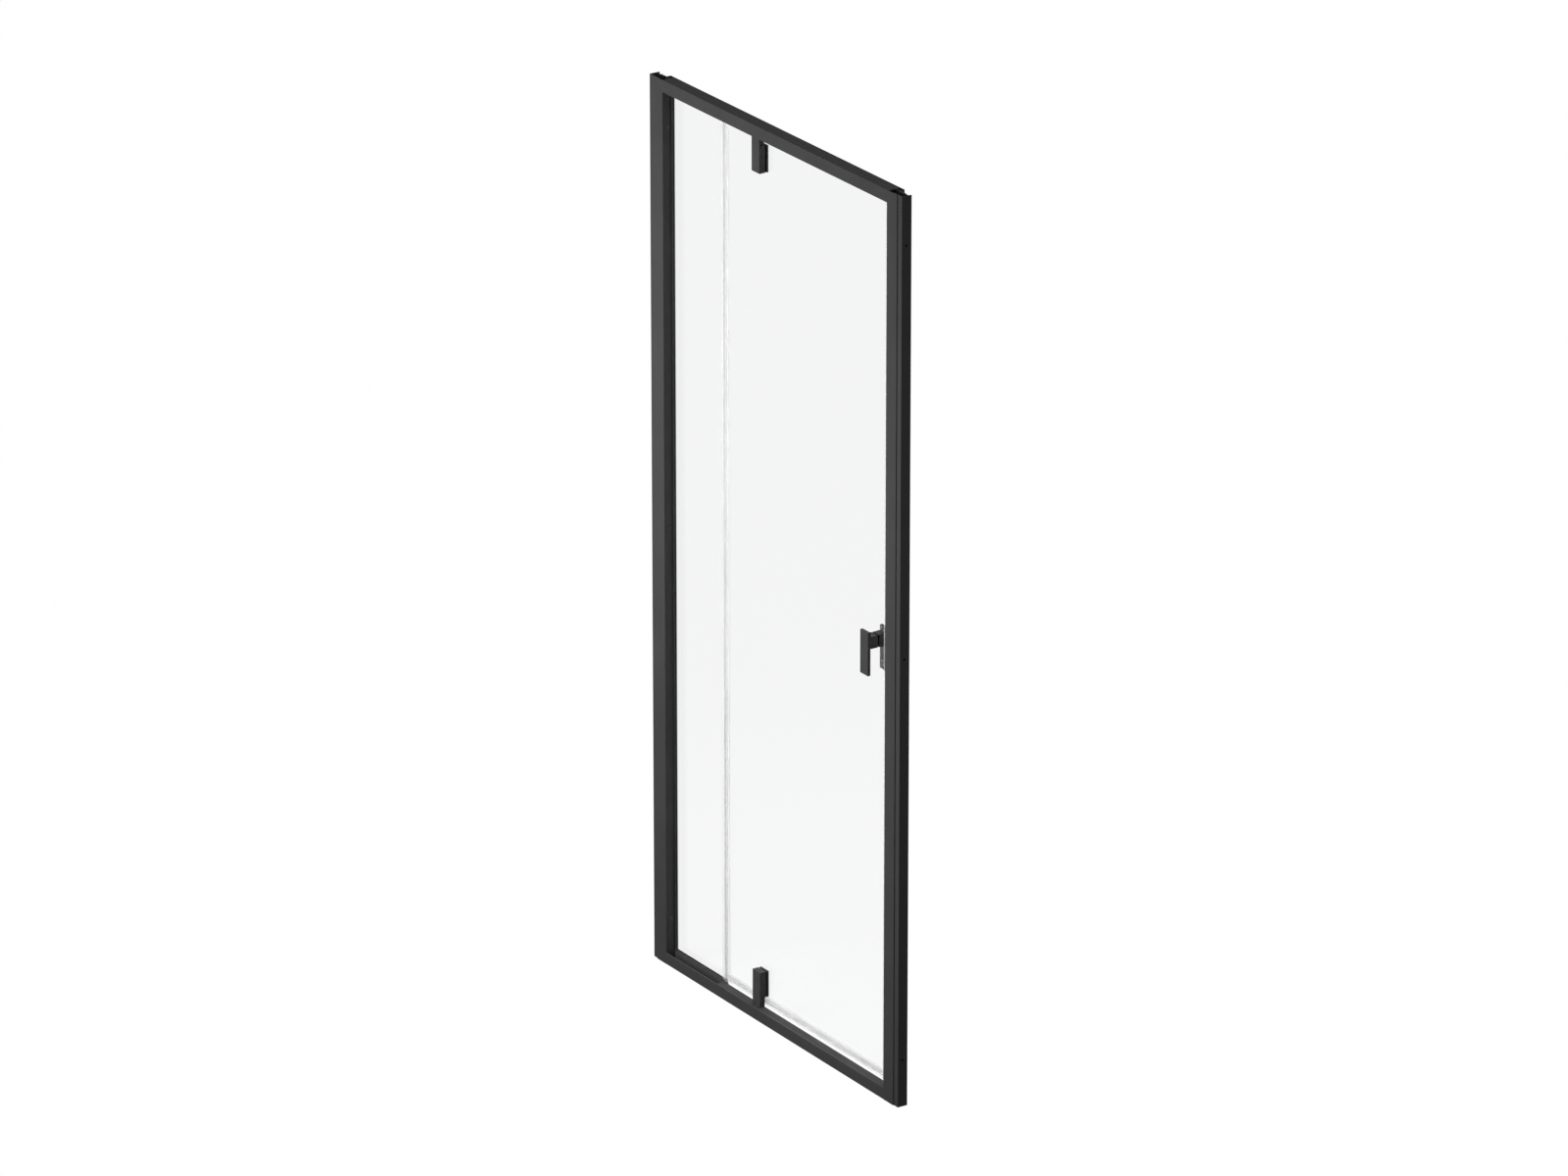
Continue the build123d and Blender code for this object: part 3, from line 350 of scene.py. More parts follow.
# %% Pour the glass
glass_tint = (0.902, 0.907, 0.906)
coated_index = 1.17
roller_wave = 260 * mm
roller_wave_squeeze = (1.0, 1.0, 3.0)
roller_wave_height = 0.03 * mm
smear_grain = 60 * mm
smear_roughness = 0.018
tree, shader = new_finish(
    "clear_glass",
    Base_Color=(*glass_tint, 1.0),
    Transmission_Weight=1.0,
    IOR=coated_index,
)
place = object_place(tree)
wave = noise(tree, object_place(tree, roller_wave_squeeze), roller_wave, 1.0)
smear = noise(tree, place, smear_grain, 4.0, 0.6)
tree.links.new(spread(tree, smear, 0.0, smear_roughness, 0.35, 0.8), shader.inputs["Roughness"])
tree.links.new(relief(tree, [(wave, roller_wave_height)]), shader.inputs["Normal"])


def let_lamps_through(tree, shader, tint):
    """Swaps the shader for a plain clear one where a ray only asks what a lamp lights."""
    path = tree.nodes.new("ShaderNodeLightPath")
    clear = tree.nodes.new("ShaderNodeBsdfTransparent")
    clear.inputs["Color"].default_value = (*tint, 1.0)
    swap = tree.nodes.new("ShaderNodeMixShader")
    tree.links.new(path.outputs["Is Shadow Ray"], swap.inputs["Fac"])
    tree.links.new(shader.outputs["BSDF"], swap.inputs[1])
    tree.links.new(clear.outputs["BSDF"], swap.inputs[2])
    tree.links.new(swap.outputs["Shader"], tree.nodes["Material Output"].inputs["Surface"])


let_lamps_through(tree, shader, glass_tint)
print("finish clear_glass")

# %% [markdown]
# ## Clear seals
# The strips on the edges of the panes are extruded vinyl. It is clear but milky, and drawn
# along its length, so its faint streaks all run that way. Noise stretched along the two ways
# that the strips run, up and across, gives them both.

# %% Extrude the vinyl's finish
vinyl_milky = (0.90, 0.905, 0.905)
vinyl_clear = (0.94, 0.94, 0.94)
vinyl_shadow_tint = (0.8, 0.8, 0.8)
streak_width = 6 * mm
streak_stretch = (0.05, 1.0, 0.05)
tree, shader = new_finish("clear_seal", Transmission_Weight=0.88, IOR=1.18)
place = object_place(tree, streak_stretch)
streaks = spread(tree, noise(tree, place, streak_width, 3.0), 0.0, 1.0)
tone = blend_colours(tree, streaks, vinyl_milky, vinyl_clear)
tree.links.new(tone, shader.inputs["Base Color"])
tree.links.new(spread(tree, streaks, 0.06, 0.12, 0.0, 1.0), shader.inputs["Roughness"])
let_lamps_through(tree, shader, vinyl_shadow_tint)
print("finish clear_seal")

# %% [markdown]
# ## Rubber, plastic and steel
# The small parts have plain finishes with their own fine grain: matt rubber, moulded plastic,
# grey nylon, turned steel, blackened screws and the dark magnet strip.

# %% Finish the small parts


def grained_finish(slot, dark, light, grain, height, rough, plain):
    """A finish whose colour and roughness follow one noise, with bumps of that grain."""
    tree, shader = new_finish(slot, **plain)
    place = object_place(tree)
    fine = noise(tree, place, grain, 3.0, 0.6)
    broad = spread(tree, noise(tree, place, 25 * grain, 2.0), 0.0, 1.0)
    tree.links.new(blend_colours(tree, broad, dark, light), shader.inputs["Base Color"])
    tree.links.new(spread(tree, fine, *rough), shader.inputs["Roughness"])
    tree.links.new(relief(tree, [(fine, height)]), shader.inputs["Normal"])


# For each slot: dark, light, grain and bump height in millimetres, roughness range, plain values
small_finishes = {
    "black_rubber": ((0.014, 0.014, 0.014), (0.022, 0.022, 0.022), 0.5, 0.02, (0.6, 0.8), {}),
    "black_plastic": ((0.022, 0.022, 0.023), (0.03, 0.03, 0.031), 0.4, 0.02, (0.42, 0.6), {}),
    "black_screws": (
        (0.02, 0.02, 0.021),
        (0.035, 0.035, 0.036),
        0.3,
        0.008,
        (0.42, 0.58),
        {"Specular_IOR_Level": 0.05},
    ),
    "grey_nylon": ((0.30, 0.30, 0.29), (0.38, 0.38, 0.37), 0.5, 0.015, (0.4, 0.55), {}),
    "magnet_rubber": ((0.05, 0.046, 0.043), (0.065, 0.06, 0.056), 0.6, 0.02, (0.6, 0.75), {}),
    "steel": ((0.52, 0.52, 0.51), (0.64, 0.64, 0.63), 0.25, 0.006, (0.22, 0.36), {"Metallic": 1.0}),
}
for slot, (dark, light, grain, height, rough, plain) in small_finishes.items():
    grained_finish(slot, dark, light, grain * mm, height * mm, rough, plain)
print("finishes", sorted(finishes))

# %% [markdown]
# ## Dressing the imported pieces
# The record says which finish each piece takes, so a loop can dress them all. A piece that is
# made again further on hides its packed twin and takes the same finish.

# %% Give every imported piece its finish
slot_of = {part["node"]: part["material_slot"] for part in frame["record"]["subparts"]}
for node, packed in frame["nodes"].items():
    packed.data.materials.clear()
    packed.data.materials.append(finishes[slot_of[node]])
print("dressed", len(slot_of))

# %% [markdown]
# ## A tree that draws plastic strips
# A seal strip is vinyl pressed through a die: one section, the same all along, with every corner
# a little round. It could be a curve bevelled by another curve, but the section is the piece
# here, so a Geometry Nodes tree does what the die does. It takes the section as a flat closed
# curve, rounds its corners, fills it, and draws it out to the strip's length.

# %% Build the drawn strip tree
strip_rounding = 0.22 * mm
strip_rounding_steps = 3
weld_distance = 0.001 * mm


def new_tree(name, inputs):
    """An empty Geometry Nodes tree with named inputs, given as (name, socket type) pairs."""
    made = bpy.data.node_groups.new(name, "GeometryNodeTree")
    made.interface.new_socket("Geometry", in_out="INPUT", socket_type="NodeSocketGeometry")
    for label, kind in inputs:
        made.interface.new_socket(label, in_out="INPUT", socket_type=kind)
    made.interface.new_socket("Geometry", in_out="OUTPUT", socket_type="NodeSocketGeometry")
    return made, made.nodes.new("NodeGroupInput"), made.nodes.new("NodeGroupOutput")


drawn_strip, given, result = new_tree(
    "drawn_strip",
    [
        ("Length", "NodeSocketFloat"),
        ("Rounding", "NodeSocketFloat"),
        ("Rounding Steps", "NodeSocketInt"),
        ("Material", "NodeSocketMaterial"),
    ],
)
nodes, links = drawn_strip.nodes, drawn_strip.links
rounded = nodes.new("GeometryNodeFilletCurve")
rounded.mode = "POLY"
rounded.inputs["Limit Radius"].default_value = True
filled = nodes.new("GeometryNodeFillCurve")
filled.mode = "NGONS"
along = nodes.new("ShaderNodeCombineXYZ")
drawn = nodes.new("GeometryNodeExtrudeMesh")
drawn.inputs["Individual"].default_value = False
first_end = nodes.new("GeometryNodeFlipFaces")
both = nodes.new("GeometryNodeJoinGeometry")
welded = nodes.new("GeometryNodeMergeByDistance")
real = nodes.new("GeometryNodeRealizeInstances")
coat = nodes.new("GeometryNodeSetMaterial")
links.new(given.outputs["Geometry"], rounded.inputs["Curve"])
links.new(given.outputs["Rounding"], rounded.inputs["Radius"])
links.new(given.outputs["Rounding Steps"], rounded.inputs["Count"])
links.new(rounded.outputs["Curve"], filled.inputs["Curve"])
links.new(filled.outputs["Mesh"], drawn.inputs["Mesh"])
links.new(given.outputs["Length"], along.inputs["Z"])
links.new(along.outputs["Vector"], drawn.inputs["Offset"])
links.new(filled.outputs["Mesh"], first_end.inputs["Mesh"])
links.new(first_end.outputs["Mesh"], both.inputs["Geometry"])
links.new(drawn.outputs["Mesh"], both.inputs["Geometry"])
links.new(both.outputs["Geometry"], welded.inputs["Geometry"])
welded.inputs["Distance"].default_value = weld_distance
links.new(welded.outputs["Geometry"], real.inputs["Geometry"])
links.new(real.outputs["Geometry"], coat.inputs["Geometry"])
links.new(given.outputs["Material"], coat.inputs["Material"])
links.new(coat.outputs["Geometry"], result.inputs["Geometry"])
print("tree drawn_strip", len(nodes), "nodes")

# %% Write the helpers that run a tree and keep its mesh


def run_tree(source, tree, **inputs):
    """Evaluates a tree on an object and returns the mesh that comes out.

    Its source has no material, so the mesh's first slot is empty and comes out.
    """
    modifier = source.modifiers.new(tree.name, "NODES")
    modifier.node_group = tree
    for item in tree.interface.items_tree:
        name = item.name.replace(" ", "_")
        if item.in_out == "INPUT" and name in inputs:
            modifier[item.identifier] = inputs[name]
    evaluated = source.evaluated_get(bpy.context.evaluated_depsgraph_get())
    mesh = bpy.data.meshes.new_from_object(evaluated)
    source.modifiers.remove(modifier)
    mesh.materials.pop(index=0)
    return mesh


def shade_by_angle(mesh, angle=35.0):
    """Smooth shading that keeps every edge sharper than an angle crisp."""
    mesh.shade_smooth()
    mesh.set_sharp_from_angle(angle=math.radians(angle))


def keep_piece(name, mesh, node, body):
    """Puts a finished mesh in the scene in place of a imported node."""
    piece = bpy.data.objects.new(name, mesh)
    scene.collection.objects.link(piece)
    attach(piece, body)
    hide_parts(node)
    return piece


def drawn_piece(name, node, body, outlines, turn, length):
    """Draws sections, given in millimetres, into a strip and turns it to its place."""
    section = bpy.data.curves.new(name, "CURVE")
    section.dimensions = "2D"
    section.fill_mode = "NONE"
    for outline in outlines:
        spline = section.splines.new("POLY")
        spline.points.add(len(outline) - 1)
        for point, (across, up) in zip(spline.points, outline):
            point.co = (across * mm, up * mm, 0.0, 1.0)
        spline.use_cyclic_u = True
    die = bpy.data.objects.new(name + "_die", section)
    scene.collection.objects.link(die)
    mesh = run_tree(
        die,
        drawn_strip,
        Length=length,
        Rounding=strip_rounding,
        Rounding_Steps=strip_rounding_steps,
        Material=finishes[slot_of[node]],
    )
    bpy.data.objects.remove(die)
    mesh.transform(turn)
    shade_by_angle(mesh)
    return keep_piece(name, mesh, node, body)


print("helpers ready")

# %% [markdown]
# ## The clear seals
# Each strip clips over the edge of a pane with two legs whose lips lean in to grip. The one on
# the closing side carries a case for the magnet, the one on the hinge side has two fins that
# meet the fixed pane's strip, and the one below has a wiper and a curved deflector that sends
# the drips back into the shower. Their sections are drawn from the glass edge outwards.

# %% Set the sections' shared sizes


def box_in_mm(node):
    """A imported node's lowest and highest corners, in millimetres."""
    low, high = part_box(node)
    return low / mm, high / mm


door_glass_low, door_glass_high = box_in_mm("door_glass")
fixed_glass_edge = box_in_mm("fixed_glass")[1].x
half_glass = (door_glass_high.y - door_glass_low.y) / 2
clip_gap = 0.1
clip_wall = 1.0
clip_inner = half_glass + clip_gap
clip_outer = clip_inner + clip_wall
clip_web = 1.2
lip_lean = 0.3
lip_reach = 1.8


def clip_side(leg, outside):
    """Half a clip's outline, from beyond the pane's edge round one leg and in to the edge.

    Each point is (how far beyond the pane's edge, how far across from its middle plane).
    """
    tip = -leg
    bend = tip + lip_reach
    return outside + [
        (clip_web, clip_outer),
        (bend, clip_outer),
        (tip, clip_outer + lip_lean),
        (tip, clip_inner + lip_lean),
        (bend, clip_inner),
        (0.0, clip_inner),
    ]


def whole_section(half, edge, away):
    """Mirrors half an outline across the pane, at an edge that faces away along X by 1 or -1."""
    both = half + [(beyond, -across) for beyond, across in reversed(half)]
    return [(edge + away * beyond, across) for beyond, across in both]


def upright_strip(name, node, body, outlines):
    """Draws a section upwards over the height that its packed twin has."""
    low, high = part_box(node)
    turn = Matrix.Translation((0.0, 0.0, low.z))
    return drawn_piece(name, node, body, outlines, turn, high.z - low.z)


print("glass", round(2 * half_glass, 2), "mm thick")

# %% Draw the fixed pane's strip and the hinge side's strip
fixed_leg = fixed_glass_edge - box_in_mm("fixed_glass_edge_seal")[0].x
fixed_section = whole_section(clip_side(fixed_leg, []), fixed_glass_edge, 1)
fixed_edge_strip = upright_strip(
    "fixed_pane_edge_strip", "fixed_glass_edge_seal", "frame", [fixed_section]
)

hinge_low, hinge_high = box_in_mm("door_hinge_edge_seal")
hinge_reach = door_glass_low.x - hinge_low.x
hinge_leg = hinge_high.x - door_glass_low.x
fin_thickness = 0.8
fin = [
    (clip_web, clip_outer - fin_thickness),
    (hinge_reach, clip_outer - fin_thickness),
    (hinge_reach, clip_outer),
]
hinge_section = whole_section(clip_side(hinge_leg, fin), door_glass_low.x, -1)
hinge_strip = upright_strip("hinge_side_strip", "door_hinge_edge_seal", "door", [hinge_section])
print(fixed_edge_strip.name, hinge_strip.name, len(hinge_strip.data.polygons), "faces")

# %% Draw the closing side's strip with its magnet case
case_half = 4.0
case_depth = 9.0
case_wall = 0.9
case_neck = 1.2
closing_low, closing_high = box_in_mm("door_closing_seal")
closing_reach = closing_high.x - door_glass_high.x
closing_leg = door_glass_high.x - closing_low.x
case_back = closing_reach - case_depth
case = [
    (closing_reach, case_half),
    (case_back, case_half),
    (case_back, case_neck),
    (clip_web, case_neck),
]
case_hollow = [
    (closing_reach - case_wall, case_half - case_wall),
    (case_back + case_wall, case_half - case_wall),
]
closing_strip = upright_strip(
    "closing_side_strip",
    "door_closing_seal",
    "door",
    [
        whole_section(clip_side(closing_leg, case), door_glass_high.x, 1),
        whole_section(case_hollow, door_glass_high.x, 1),
    ],
)
print(closing_strip.name, len(closing_strip.data.polygons), "faces")

# %% Draw the strike strip
strike_low, strike_high = box_in_mm("strike_seal")
strike_half = 3.5
strike_depth = 6.5
stem_half = 0.7
barb_half = 2.2
barb_length = 1.4
stem_end = strike_high.x - strike_low.x
strike_half_outline = [(0.0, strike_half), (strike_depth, strike_half), (strike_depth, stem_half)]
for barb in (1, 2):
    barb_end = strike_depth + barb * (stem_end - strike_depth) / 2
    strike_half_outline += [
        (barb_end - barb_length, stem_half),
        (barb_end - barb_length, barb_half),
        (barb_end, stem_half),
    ]
strike_hollow = [
    (case_wall, strike_half - case_wall),
    (strike_depth - case_wall, strike_half - case_wall),
]
strike_strip = upright_strip(
    "strike_strip",
    "strike_seal",
    "frame",
    [
        whole_section(strike_half_outline, strike_low.x, 1),
        whole_section(strike_hollow, strike_low.x, 1),
    ],
)
print(strike_strip.name, len(strike_strip.data.polygons), "faces")

# %% Draw the bottom strip with its wiper and deflector
bottom_low, bottom_high = box_in_mm("door_bottom_seal")
pane_foot = door_glass_low.z
web_low = pane_foot - clip_web
clip_top = bottom_high.z
lip_bend = clip_top - lip_reach
wiper_root = 0.8
wiper_tip = 0.35
wiper_show = 1.2
deflector_reach = bottom_high.y - clip_outer
deflector_wall = 0.8
deflector_drop = pane_foot - bottom_low.z - wiper_show
deflector_steps = 6


def deflector(side_reach, side_drop):
    """Points down one side of the deflector, a quarter round that starts level."""
    turns = [step / deflector_steps * math.pi / 2 for step in range(1, deflector_steps + 1)]
    return [
        (clip_outer + side_reach * math.sin(turn), pane_foot - side_drop * (1 - math.cos(turn)))
        for turn in turns
    ]


deflector_top = deflector(deflector_reach, deflector_drop)
under_side = deflector(deflector_reach - deflector_wall, deflector_drop - deflector_wall)
deflector_under = [(across, up - deflector_wall) for across, up in under_side]
bottom_section = (
    [
        (clip_outer, lip_bend),
        (clip_outer + lip_lean, clip_top),
        (clip_inner + lip_lean, clip_top),
        (clip_inner, lip_bend),
        (clip_inner, pane_foot),
        (-clip_inner, pane_foot),
        (-clip_inner, lip_bend),
        (-clip_inner - lip_lean, clip_top),
        (-clip_outer - lip_lean, clip_top),
        (-clip_outer, lip_bend),
        (-clip_outer, web_low),
        (-wiper_root, web_low),
        (-wiper_tip, bottom_low.z),
        (wiper_tip, bottom_low.z),
        (wiper_root, web_low),
        (clip_outer, web_low),
    ]
    + deflector_under
    + deflector_top[::-1]
    + [(clip_outer, pane_foot)]
)

# Lays the section upright across the door, and its length along X
along_x = Matrix.Translation((bottom_low.x * mm, 0.0, 0.0)) @ Matrix(
    ((0, 0, 1, 0), (1, 0, 0, 0), (0, 1, 0, 0), (0, 0, 0, 1))
)
bottom_strip = drawn_piece(
    "bottom_strip",
    "door_bottom_seal",
    "door",
    [bottom_section],
    along_x,
    (bottom_high.x - bottom_low.x) * mm,
)
print(bottom_strip.name, len(bottom_strip.data.polygons), "faces")

# %% [markdown]
# ## Caps and screws
# Small fasteners are the same piece over and over, so one of each kind is turned on a lathe, the
# screws get a driver's recess, and a Geometry Nodes tree sets each kind out on points, every one
# with its own random turn, as a fitter leaves them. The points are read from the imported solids,
# so every head stays on its seat.

# %% Build the set out tree
set_out, given, result = new_tree(
    "set_out",
    [
        ("Fastener", "NodeSocketObject"),
        ("Greatest Turn", "NodeSocketFloat"),
        ("Turn Seed", "NodeSocketInt"),
        ("Material", "NodeSocketMaterial"),
    ],
)
nodes, links = set_out.nodes, set_out.links
fastener = nodes.new("GeometryNodeObjectInfo")
faces_towards = nodes.new("GeometryNodeInputNamedAttribute")
faces_towards.data_type = "FLOAT_VECTOR"
faces_towards.inputs["Name"].default_value = "facing"
aimed = nodes.new("FunctionNodeAlignRotationToVector")
aimed.axis = "Z"
placed = nodes.new("GeometryNodeInstanceOnPoints")
own_turn = nodes.new("FunctionNodeRandomValue")
about_axis = nodes.new("ShaderNodeCombineXYZ")
turned = nodes.new("GeometryNodeRotateInstances")
real = nodes.new("GeometryNodeRealizeInstances")
coat = nodes.new("GeometryNodeSetMaterial")
links.new(given.outputs["Geometry"], placed.inputs["Points"])
links.new(given.outputs["Fastener"], fastener.inputs["Object"])
links.new(fastener.outputs["Geometry"], placed.inputs["Instance"])
links.new(faces_towards.outputs["Attribute"], aimed.inputs["Vector"])
links.new(aimed.outputs["Rotation"], placed.inputs["Rotation"])
random_inputs = [socket for socket in own_turn.inputs if socket.enabled]
links.new(given.outputs["Greatest Turn"], random_inputs[1])
links.new(given.outputs["Turn Seed"], own_turn.inputs["Seed"])
random_output = next(socket for socket in own_turn.outputs if socket.enabled)
links.new(random_output, about_axis.inputs["Z"])
links.new(placed.outputs["Instances"], turned.inputs["Instances"])
links.new(about_axis.outputs["Vector"], turned.inputs["Rotation"])
links.new(turned.outputs["Instances"], real.inputs["Geometry"])
links.new(real.outputs["Geometry"], coat.inputs["Geometry"])
links.new(given.outputs["Material"], coat.inputs["Material"])
links.new(coat.outputs["Geometry"], result.inputs["Geometry"])
print("tree set_out", len(nodes), "nodes")

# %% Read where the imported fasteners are


def solids_of(node):
    """The lowest and highest corners, in millimetres, of each separate solid in a node."""
    walked = bmesh.new()
    walked.from_mesh(frame["nodes"][node].data)
    bmesh.ops.remove_doubles(walked, verts=walked.verts, dist=weld_distance)
    unseen = set(walked.verts)
    boxes = []
    for start in walked.verts:
        if start not in unseen:
            continue
        unseen.remove(start)
        island = [start]
        for vertex in island:
            for edge in vertex.link_edges:
                other = edge.other_vert(vertex)
                if other in unseen:
                    unseen.remove(other)
                    island.append(other)
        places = [vertex.co / mm for vertex in island]
        low = Vector([min(place[axis] for place in places) for axis in range(3)])
        high = Vector([max(place[axis] for place in places) for axis in range(3)])
        boxes.append((low, high))
    walked.free()
    return sorted(boxes, key=lambda box: [round(value, 2) for value in box[0]])


print("caps", len(solids_of("jamb_hole_caps")), "jamb screws", len(solids_of("jamb_fixing_screws")))

# %% Write the lathe and the driver's cross
lathe_steps = 36
cross_taper = 0.5


def lathed(outline):
    """Turns an outline of (radius, height) points, from axis to axis, into a closed form."""
    form = bmesh.new()
    rings = []
    for radius, height in outline:
        if radius == 0.0:
            rings.append([form.verts.new((0.0, 0.0, height))])
            continue
        angles = [2 * math.pi * step / lathe_steps for step in range(lathe_steps)]
        rings.append(
            [form.verts.new((radius * math.cos(a), radius * math.sin(a), height)) for a in angles]
        )
    for upper, lower in zip(rings, rings[1:]):
        for step in range(lathe_steps):
            after = (step + 1) % lathe_steps
            corners = [upper[step % len(upper)], lower[step % len(lower)]]
            corners += [lower[after % len(lower)], upper[after % len(upper)]]
            face = list(dict.fromkeys(corners))
            form.faces.new(face)
    bmesh.ops.recalc_face_normals(form, faces=form.faces)
    mesh = bpy.data.meshes.new("lathed")
    form.to_mesh(mesh)
    form.free()
    return mesh


def cross_cutter(reach, width, top, depth):
    """A tapered cross that a driver's recess is cut with."""
    half = width / 2
    corner = [(reach, -half), (reach, half), (half, half)]
    outline = []
    for quarter in range(4):
        turn = Matrix.Rotation(quarter * math.pi / 2, 2)
        outline += [turn @ Vector(point) for point in corner]
    form = bmesh.new()
    upper = [form.verts.new((*point, top + half)) for point in outline]
    lower = [form.verts.new((*(point * cross_taper), top - depth)) for point in outline]
    form.faces.new(upper)
    form.faces.new(lower[::-1])
    for step, (first, second) in enumerate(zip(upper, lower)):
        after = (step + 1) % len(upper)
        form.faces.new((first, second, lower[after], upper[after]))
    bmesh.ops.recalc_face_normals(form, faces=form.faces)
    mesh = bpy.data.meshes.new("cross_cutter")
    form.to_mesh(mesh)
    form.free()
    return mesh


def with_recess(body_mesh, cutter_mesh):
    """Cuts one mesh out of another with a Boolean and returns the result."""
    blank = bpy.data.objects.new("blank", body_mesh)
    cutter = bpy.data.objects.new("cutter", cutter_mesh)
    for item in (blank, cutter):
        scene.collection.objects.link(item)
    cut = blank.modifiers.new("recess", "BOOLEAN")
    cut.operation = "DIFFERENCE"
    cut.object = cutter
    cut.solver = "EXACT"
    evaluated = blank.evaluated_get(bpy.context.evaluated_depsgraph_get())
    mesh = bpy.data.meshes.new_from_object(evaluated)
    bpy.data.objects.remove(blank)
    bpy.data.objects.remove(cutter)
    return mesh


print("lathe ready")

# %% Write the outlines of a cap, a pan head screw and a countersunk screw
cap_height = 1.2
cap_plug_radius = 4.2
cap_plug_wall = 1.1
cap_plug_bevel = 0.3
cap_plug_straight = 0.9
jamb_head_height = 2.4
jamb_shank_radius = 1.75
corner_head_height = 2.2
corner_shank_radius = 1.5
clamp_shank_radius = 2.5
bearing_shank_radius = 1.5
countersunk_bevel = 0.08
countersunk_land = 0.2
point_radius = 0.4
cross_width = 0.9

# The heads' outlines, in shares of the head's radius and height
cap_dish = [
    (0.0, 0.72),
    (0.35, 0.74),
    (0.62, 0.86),
    (0.76, 0.98),
    (0.84, 1.0),
    (0.92, 0.94),
    (0.98, 0.74),
    (1.0, 0.45),
    (1.0, 0.0),
]
pan_dome = [(0.0, 1.0), (0.6, 0.98), (0.8, 0.9), (0.93, 0.72), (0.99, 0.45), (1.0, 0.2), (1.0, 0.0)]

# The crosses' reaches, in shares of the head's radius, and the depths, of its height or radius
pan_cross_reach = 0.6
pan_cross_depth = 0.6
countersunk_cross_reach = 0.62
countersunk_cross_depth = 0.5


def at_real_size(shares, radius, height):
    """An outline in shares of a head's radius and height, in millimetres."""
    return [(across * radius, up * height) for across, up in shares]


def cap_form(head_radius, length):
    """A moulded cap: a dished head with a round rim on a hollow plug."""
    plug_end = cap_height - length
    plug_bore = cap_plug_radius - cap_plug_wall
    plug = [
        (cap_plug_radius, 0.0),
        (cap_plug_radius, cap_plug_straight * plug_end),
        (cap_plug_radius - cap_plug_bevel, plug_end),
        (plug_bore, plug_end),
        (plug_bore, 0.0),
        (0.0, 0.0),
    ]
    return lathed(at_real_size(cap_dish, head_radius, cap_height) + plug)


def pan_form(head_radius, head_height, shank_radius, length):
    """A screw with a low domed head, seated at height 0, and a pointed shank below."""
    tip = head_height - length
    shank = [
        (shank_radius, 0.0),
        (shank_radius, tip + shank_radius),
        (point_radius, tip),
        (0.0, tip),
    ]
    blank = lathed(at_real_size(pan_dome, head_radius, head_height) + shank)
    reach = pan_cross_reach * head_radius
    cutter = cross_cutter(reach, cross_width, head_height, pan_cross_depth * head_height)
    return with_recess(blank, cutter)


def countersunk_form(head_radius, shank_radius, length):
    """A screw whose flat head lies flush, at height 0, on a cone that runs into the shank."""
    outline = [
        (0.0, 0.0),
        (head_radius - countersunk_bevel, 0.0),
        (head_radius, -countersunk_bevel),
        (head_radius, -countersunk_land),
        (shank_radius, shank_radius - head_radius - countersunk_land),
        (shank_radius, shank_radius - length),
        (point_radius, -length),
        (0.0, -length),
    ]
    reach = countersunk_cross_reach * head_radius
    cutter = cross_cutter(reach, cross_width, 0.0, countersunk_cross_depth * head_radius)
    return with_recess(lathed(outline), cutter)


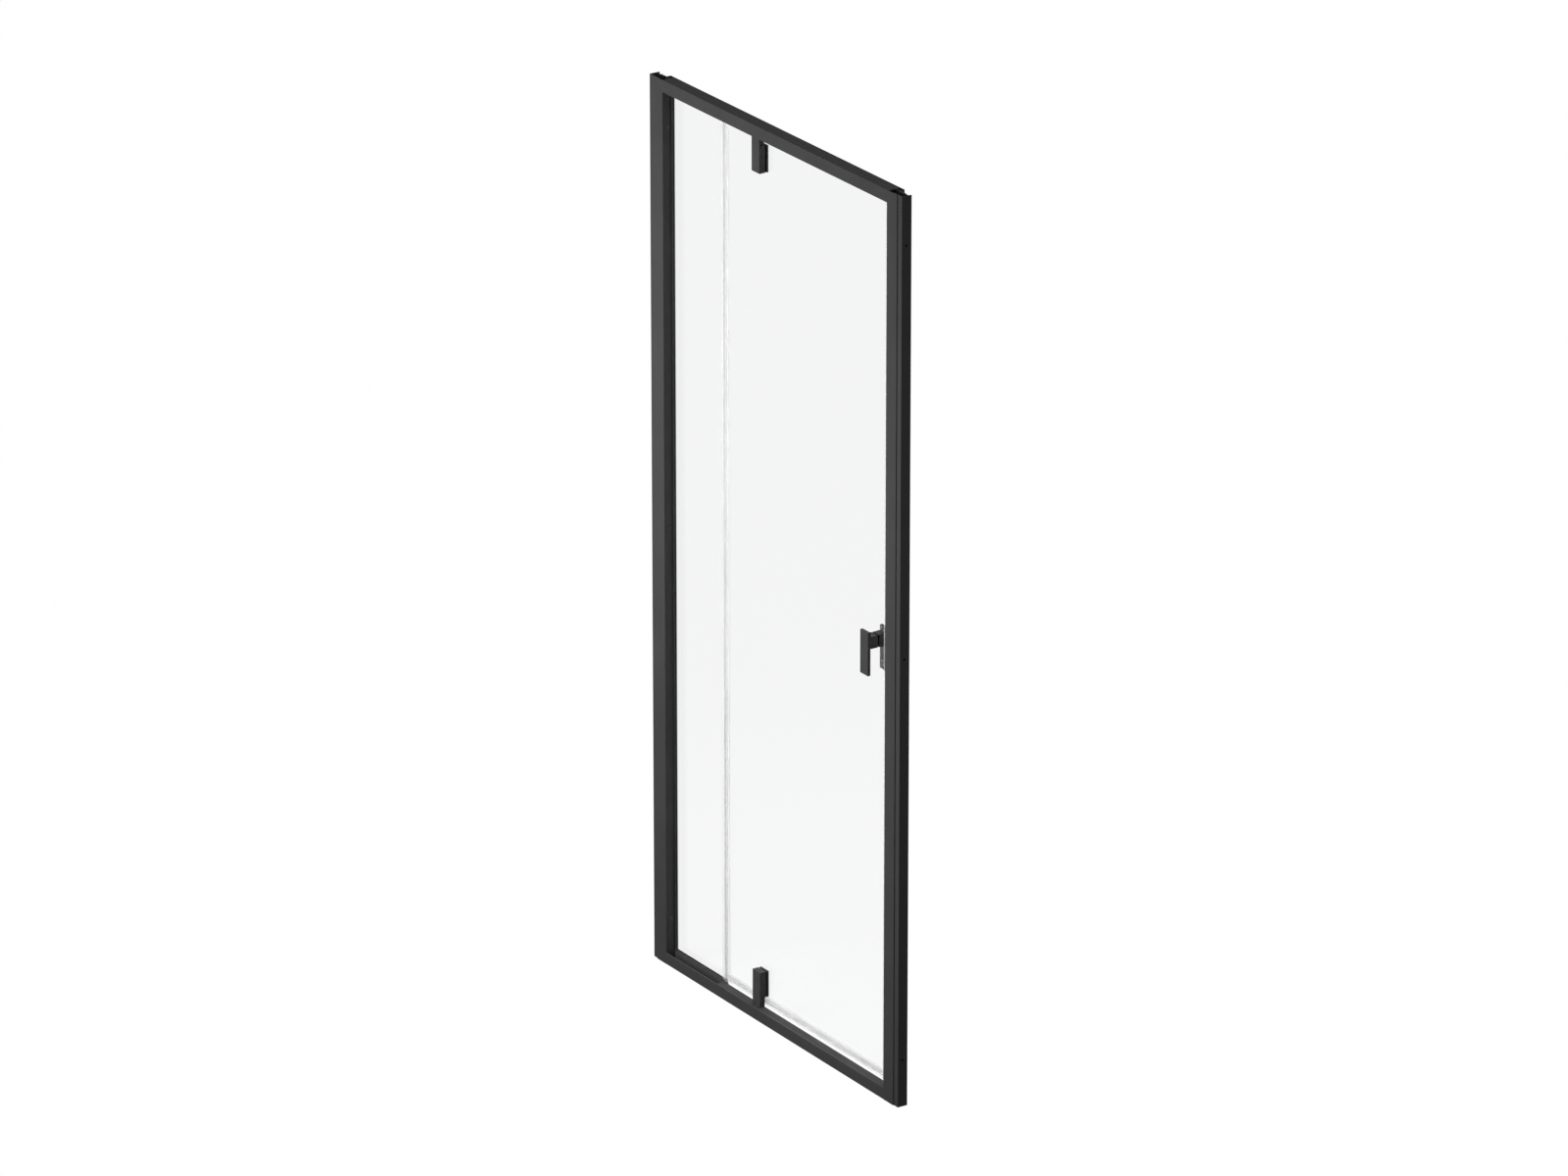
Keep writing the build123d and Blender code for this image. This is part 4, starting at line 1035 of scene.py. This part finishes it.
def set_out_piece(name, node, body, facing_of, head_height, form_of, turn_seed):
    """Makes one fastener to fit a node's solids and sets it out in place of them all."""
    boxes = solids_of(node)
    middles = [(low + high) / 2 for low, high in boxes]
    spans = [high - low for low, high in boxes]
    facings = [facing_of(middle) for middle in middles]
    length = abs(spans[0].dot(facings[0]))
    across = [value for value, part in zip(spans[0], facings[0]) if part == 0.0]
    one = form_of(max(across) / 2, length)
    one.transform(Matrix.Scale(mm, 4))
    shade_by_angle(one)
    sample = bpy.data.objects.new(name + "_sample", one)
    seats = bpy.data.meshes.new(name + "_seats")
    places = [
        (middle + facing * (length / 2 - head_height)) * mm
        for middle, facing in zip(middles, facings)
    ]
    seats.from_pydata(places, [], [])
    facing_data = seats.attributes.new("facing", "FLOAT_VECTOR", "POINT")
    for entry, facing in zip(facing_data.data, facings):
        entry.vector = facing
    carrier = bpy.data.objects.new(name + "_seats", seats)
    for item in (sample, carrier):
        scene.collection.objects.link(item)
    mesh = run_tree(
        carrier,
        set_out,
        Fastener=sample,
        Greatest_Turn=2 * math.pi,
        Turn_Seed=turn_seed,
        Material=finishes[slot_of[node]],
    )
    bpy.data.objects.remove(sample)
    bpy.data.objects.remove(carrier)
    return keep_piece(name, mesh, node, body)


print("outlines ready")

# %% Set out the caps and the screws


def inwards(middle):
    """Faces the doorway from either jamb."""
    return Vector((-1.0 if middle.x > 0 else 1.0, 0.0, 0.0))


def outwards(middle):
    """Faces the wall from either jamb."""
    return -inwards(middle)


def to_the_back(middle):
    """Faces into the shower."""
    return Vector((0.0, 1.0, 0.0))


def downwards(middle):
    """Faces the floor."""
    return Vector((0.0, 0.0, -1.0))


caps = set_out_piece(
    "jamb_caps", "jamb_hole_caps", "frame", inwards, cap_height, cap_form, turn_seed=3
)
jamb_screws = set_out_piece(
    "jamb_screws",
    "jamb_fixing_screws",
    "frame",
    to_the_back,
    jamb_head_height,
    lambda radius, length: pan_form(radius, jamb_head_height, jamb_shank_radius, length),
    turn_seed=5,
)
corner_screw_set = set_out_piece(
    "corner_screw_set",
    "corner_screws",
    "frame",
    outwards,
    corner_head_height,
    lambda radius, length: pan_form(radius, corner_head_height, corner_shank_radius, length),
    turn_seed=7,
)
clamp_screws = set_out_piece(
    "clamp_screws",
    "pivot_clamp_screws",
    "door",
    to_the_back,
    0.0,
    lambda radius, length: countersunk_form(radius, clamp_shank_radius, length),
    turn_seed=11,
)
bearing_screw_set = set_out_piece(
    "bearing_screw_set",
    "bearing_screws",
    "frame",
    downwards,
    0.0,
    lambda radius, length: countersunk_form(radius, bearing_shank_radius, length),
    turn_seed=13,
)
for piece in (caps, jamb_screws, corner_screw_set, clamp_screws, bearing_screw_set):
    low, high = piece.bound_box[0], piece.bound_box[6]
    print(piece.name, [round((b - a) / mm, 1) for a, b in zip(low, high)], "millimetres")
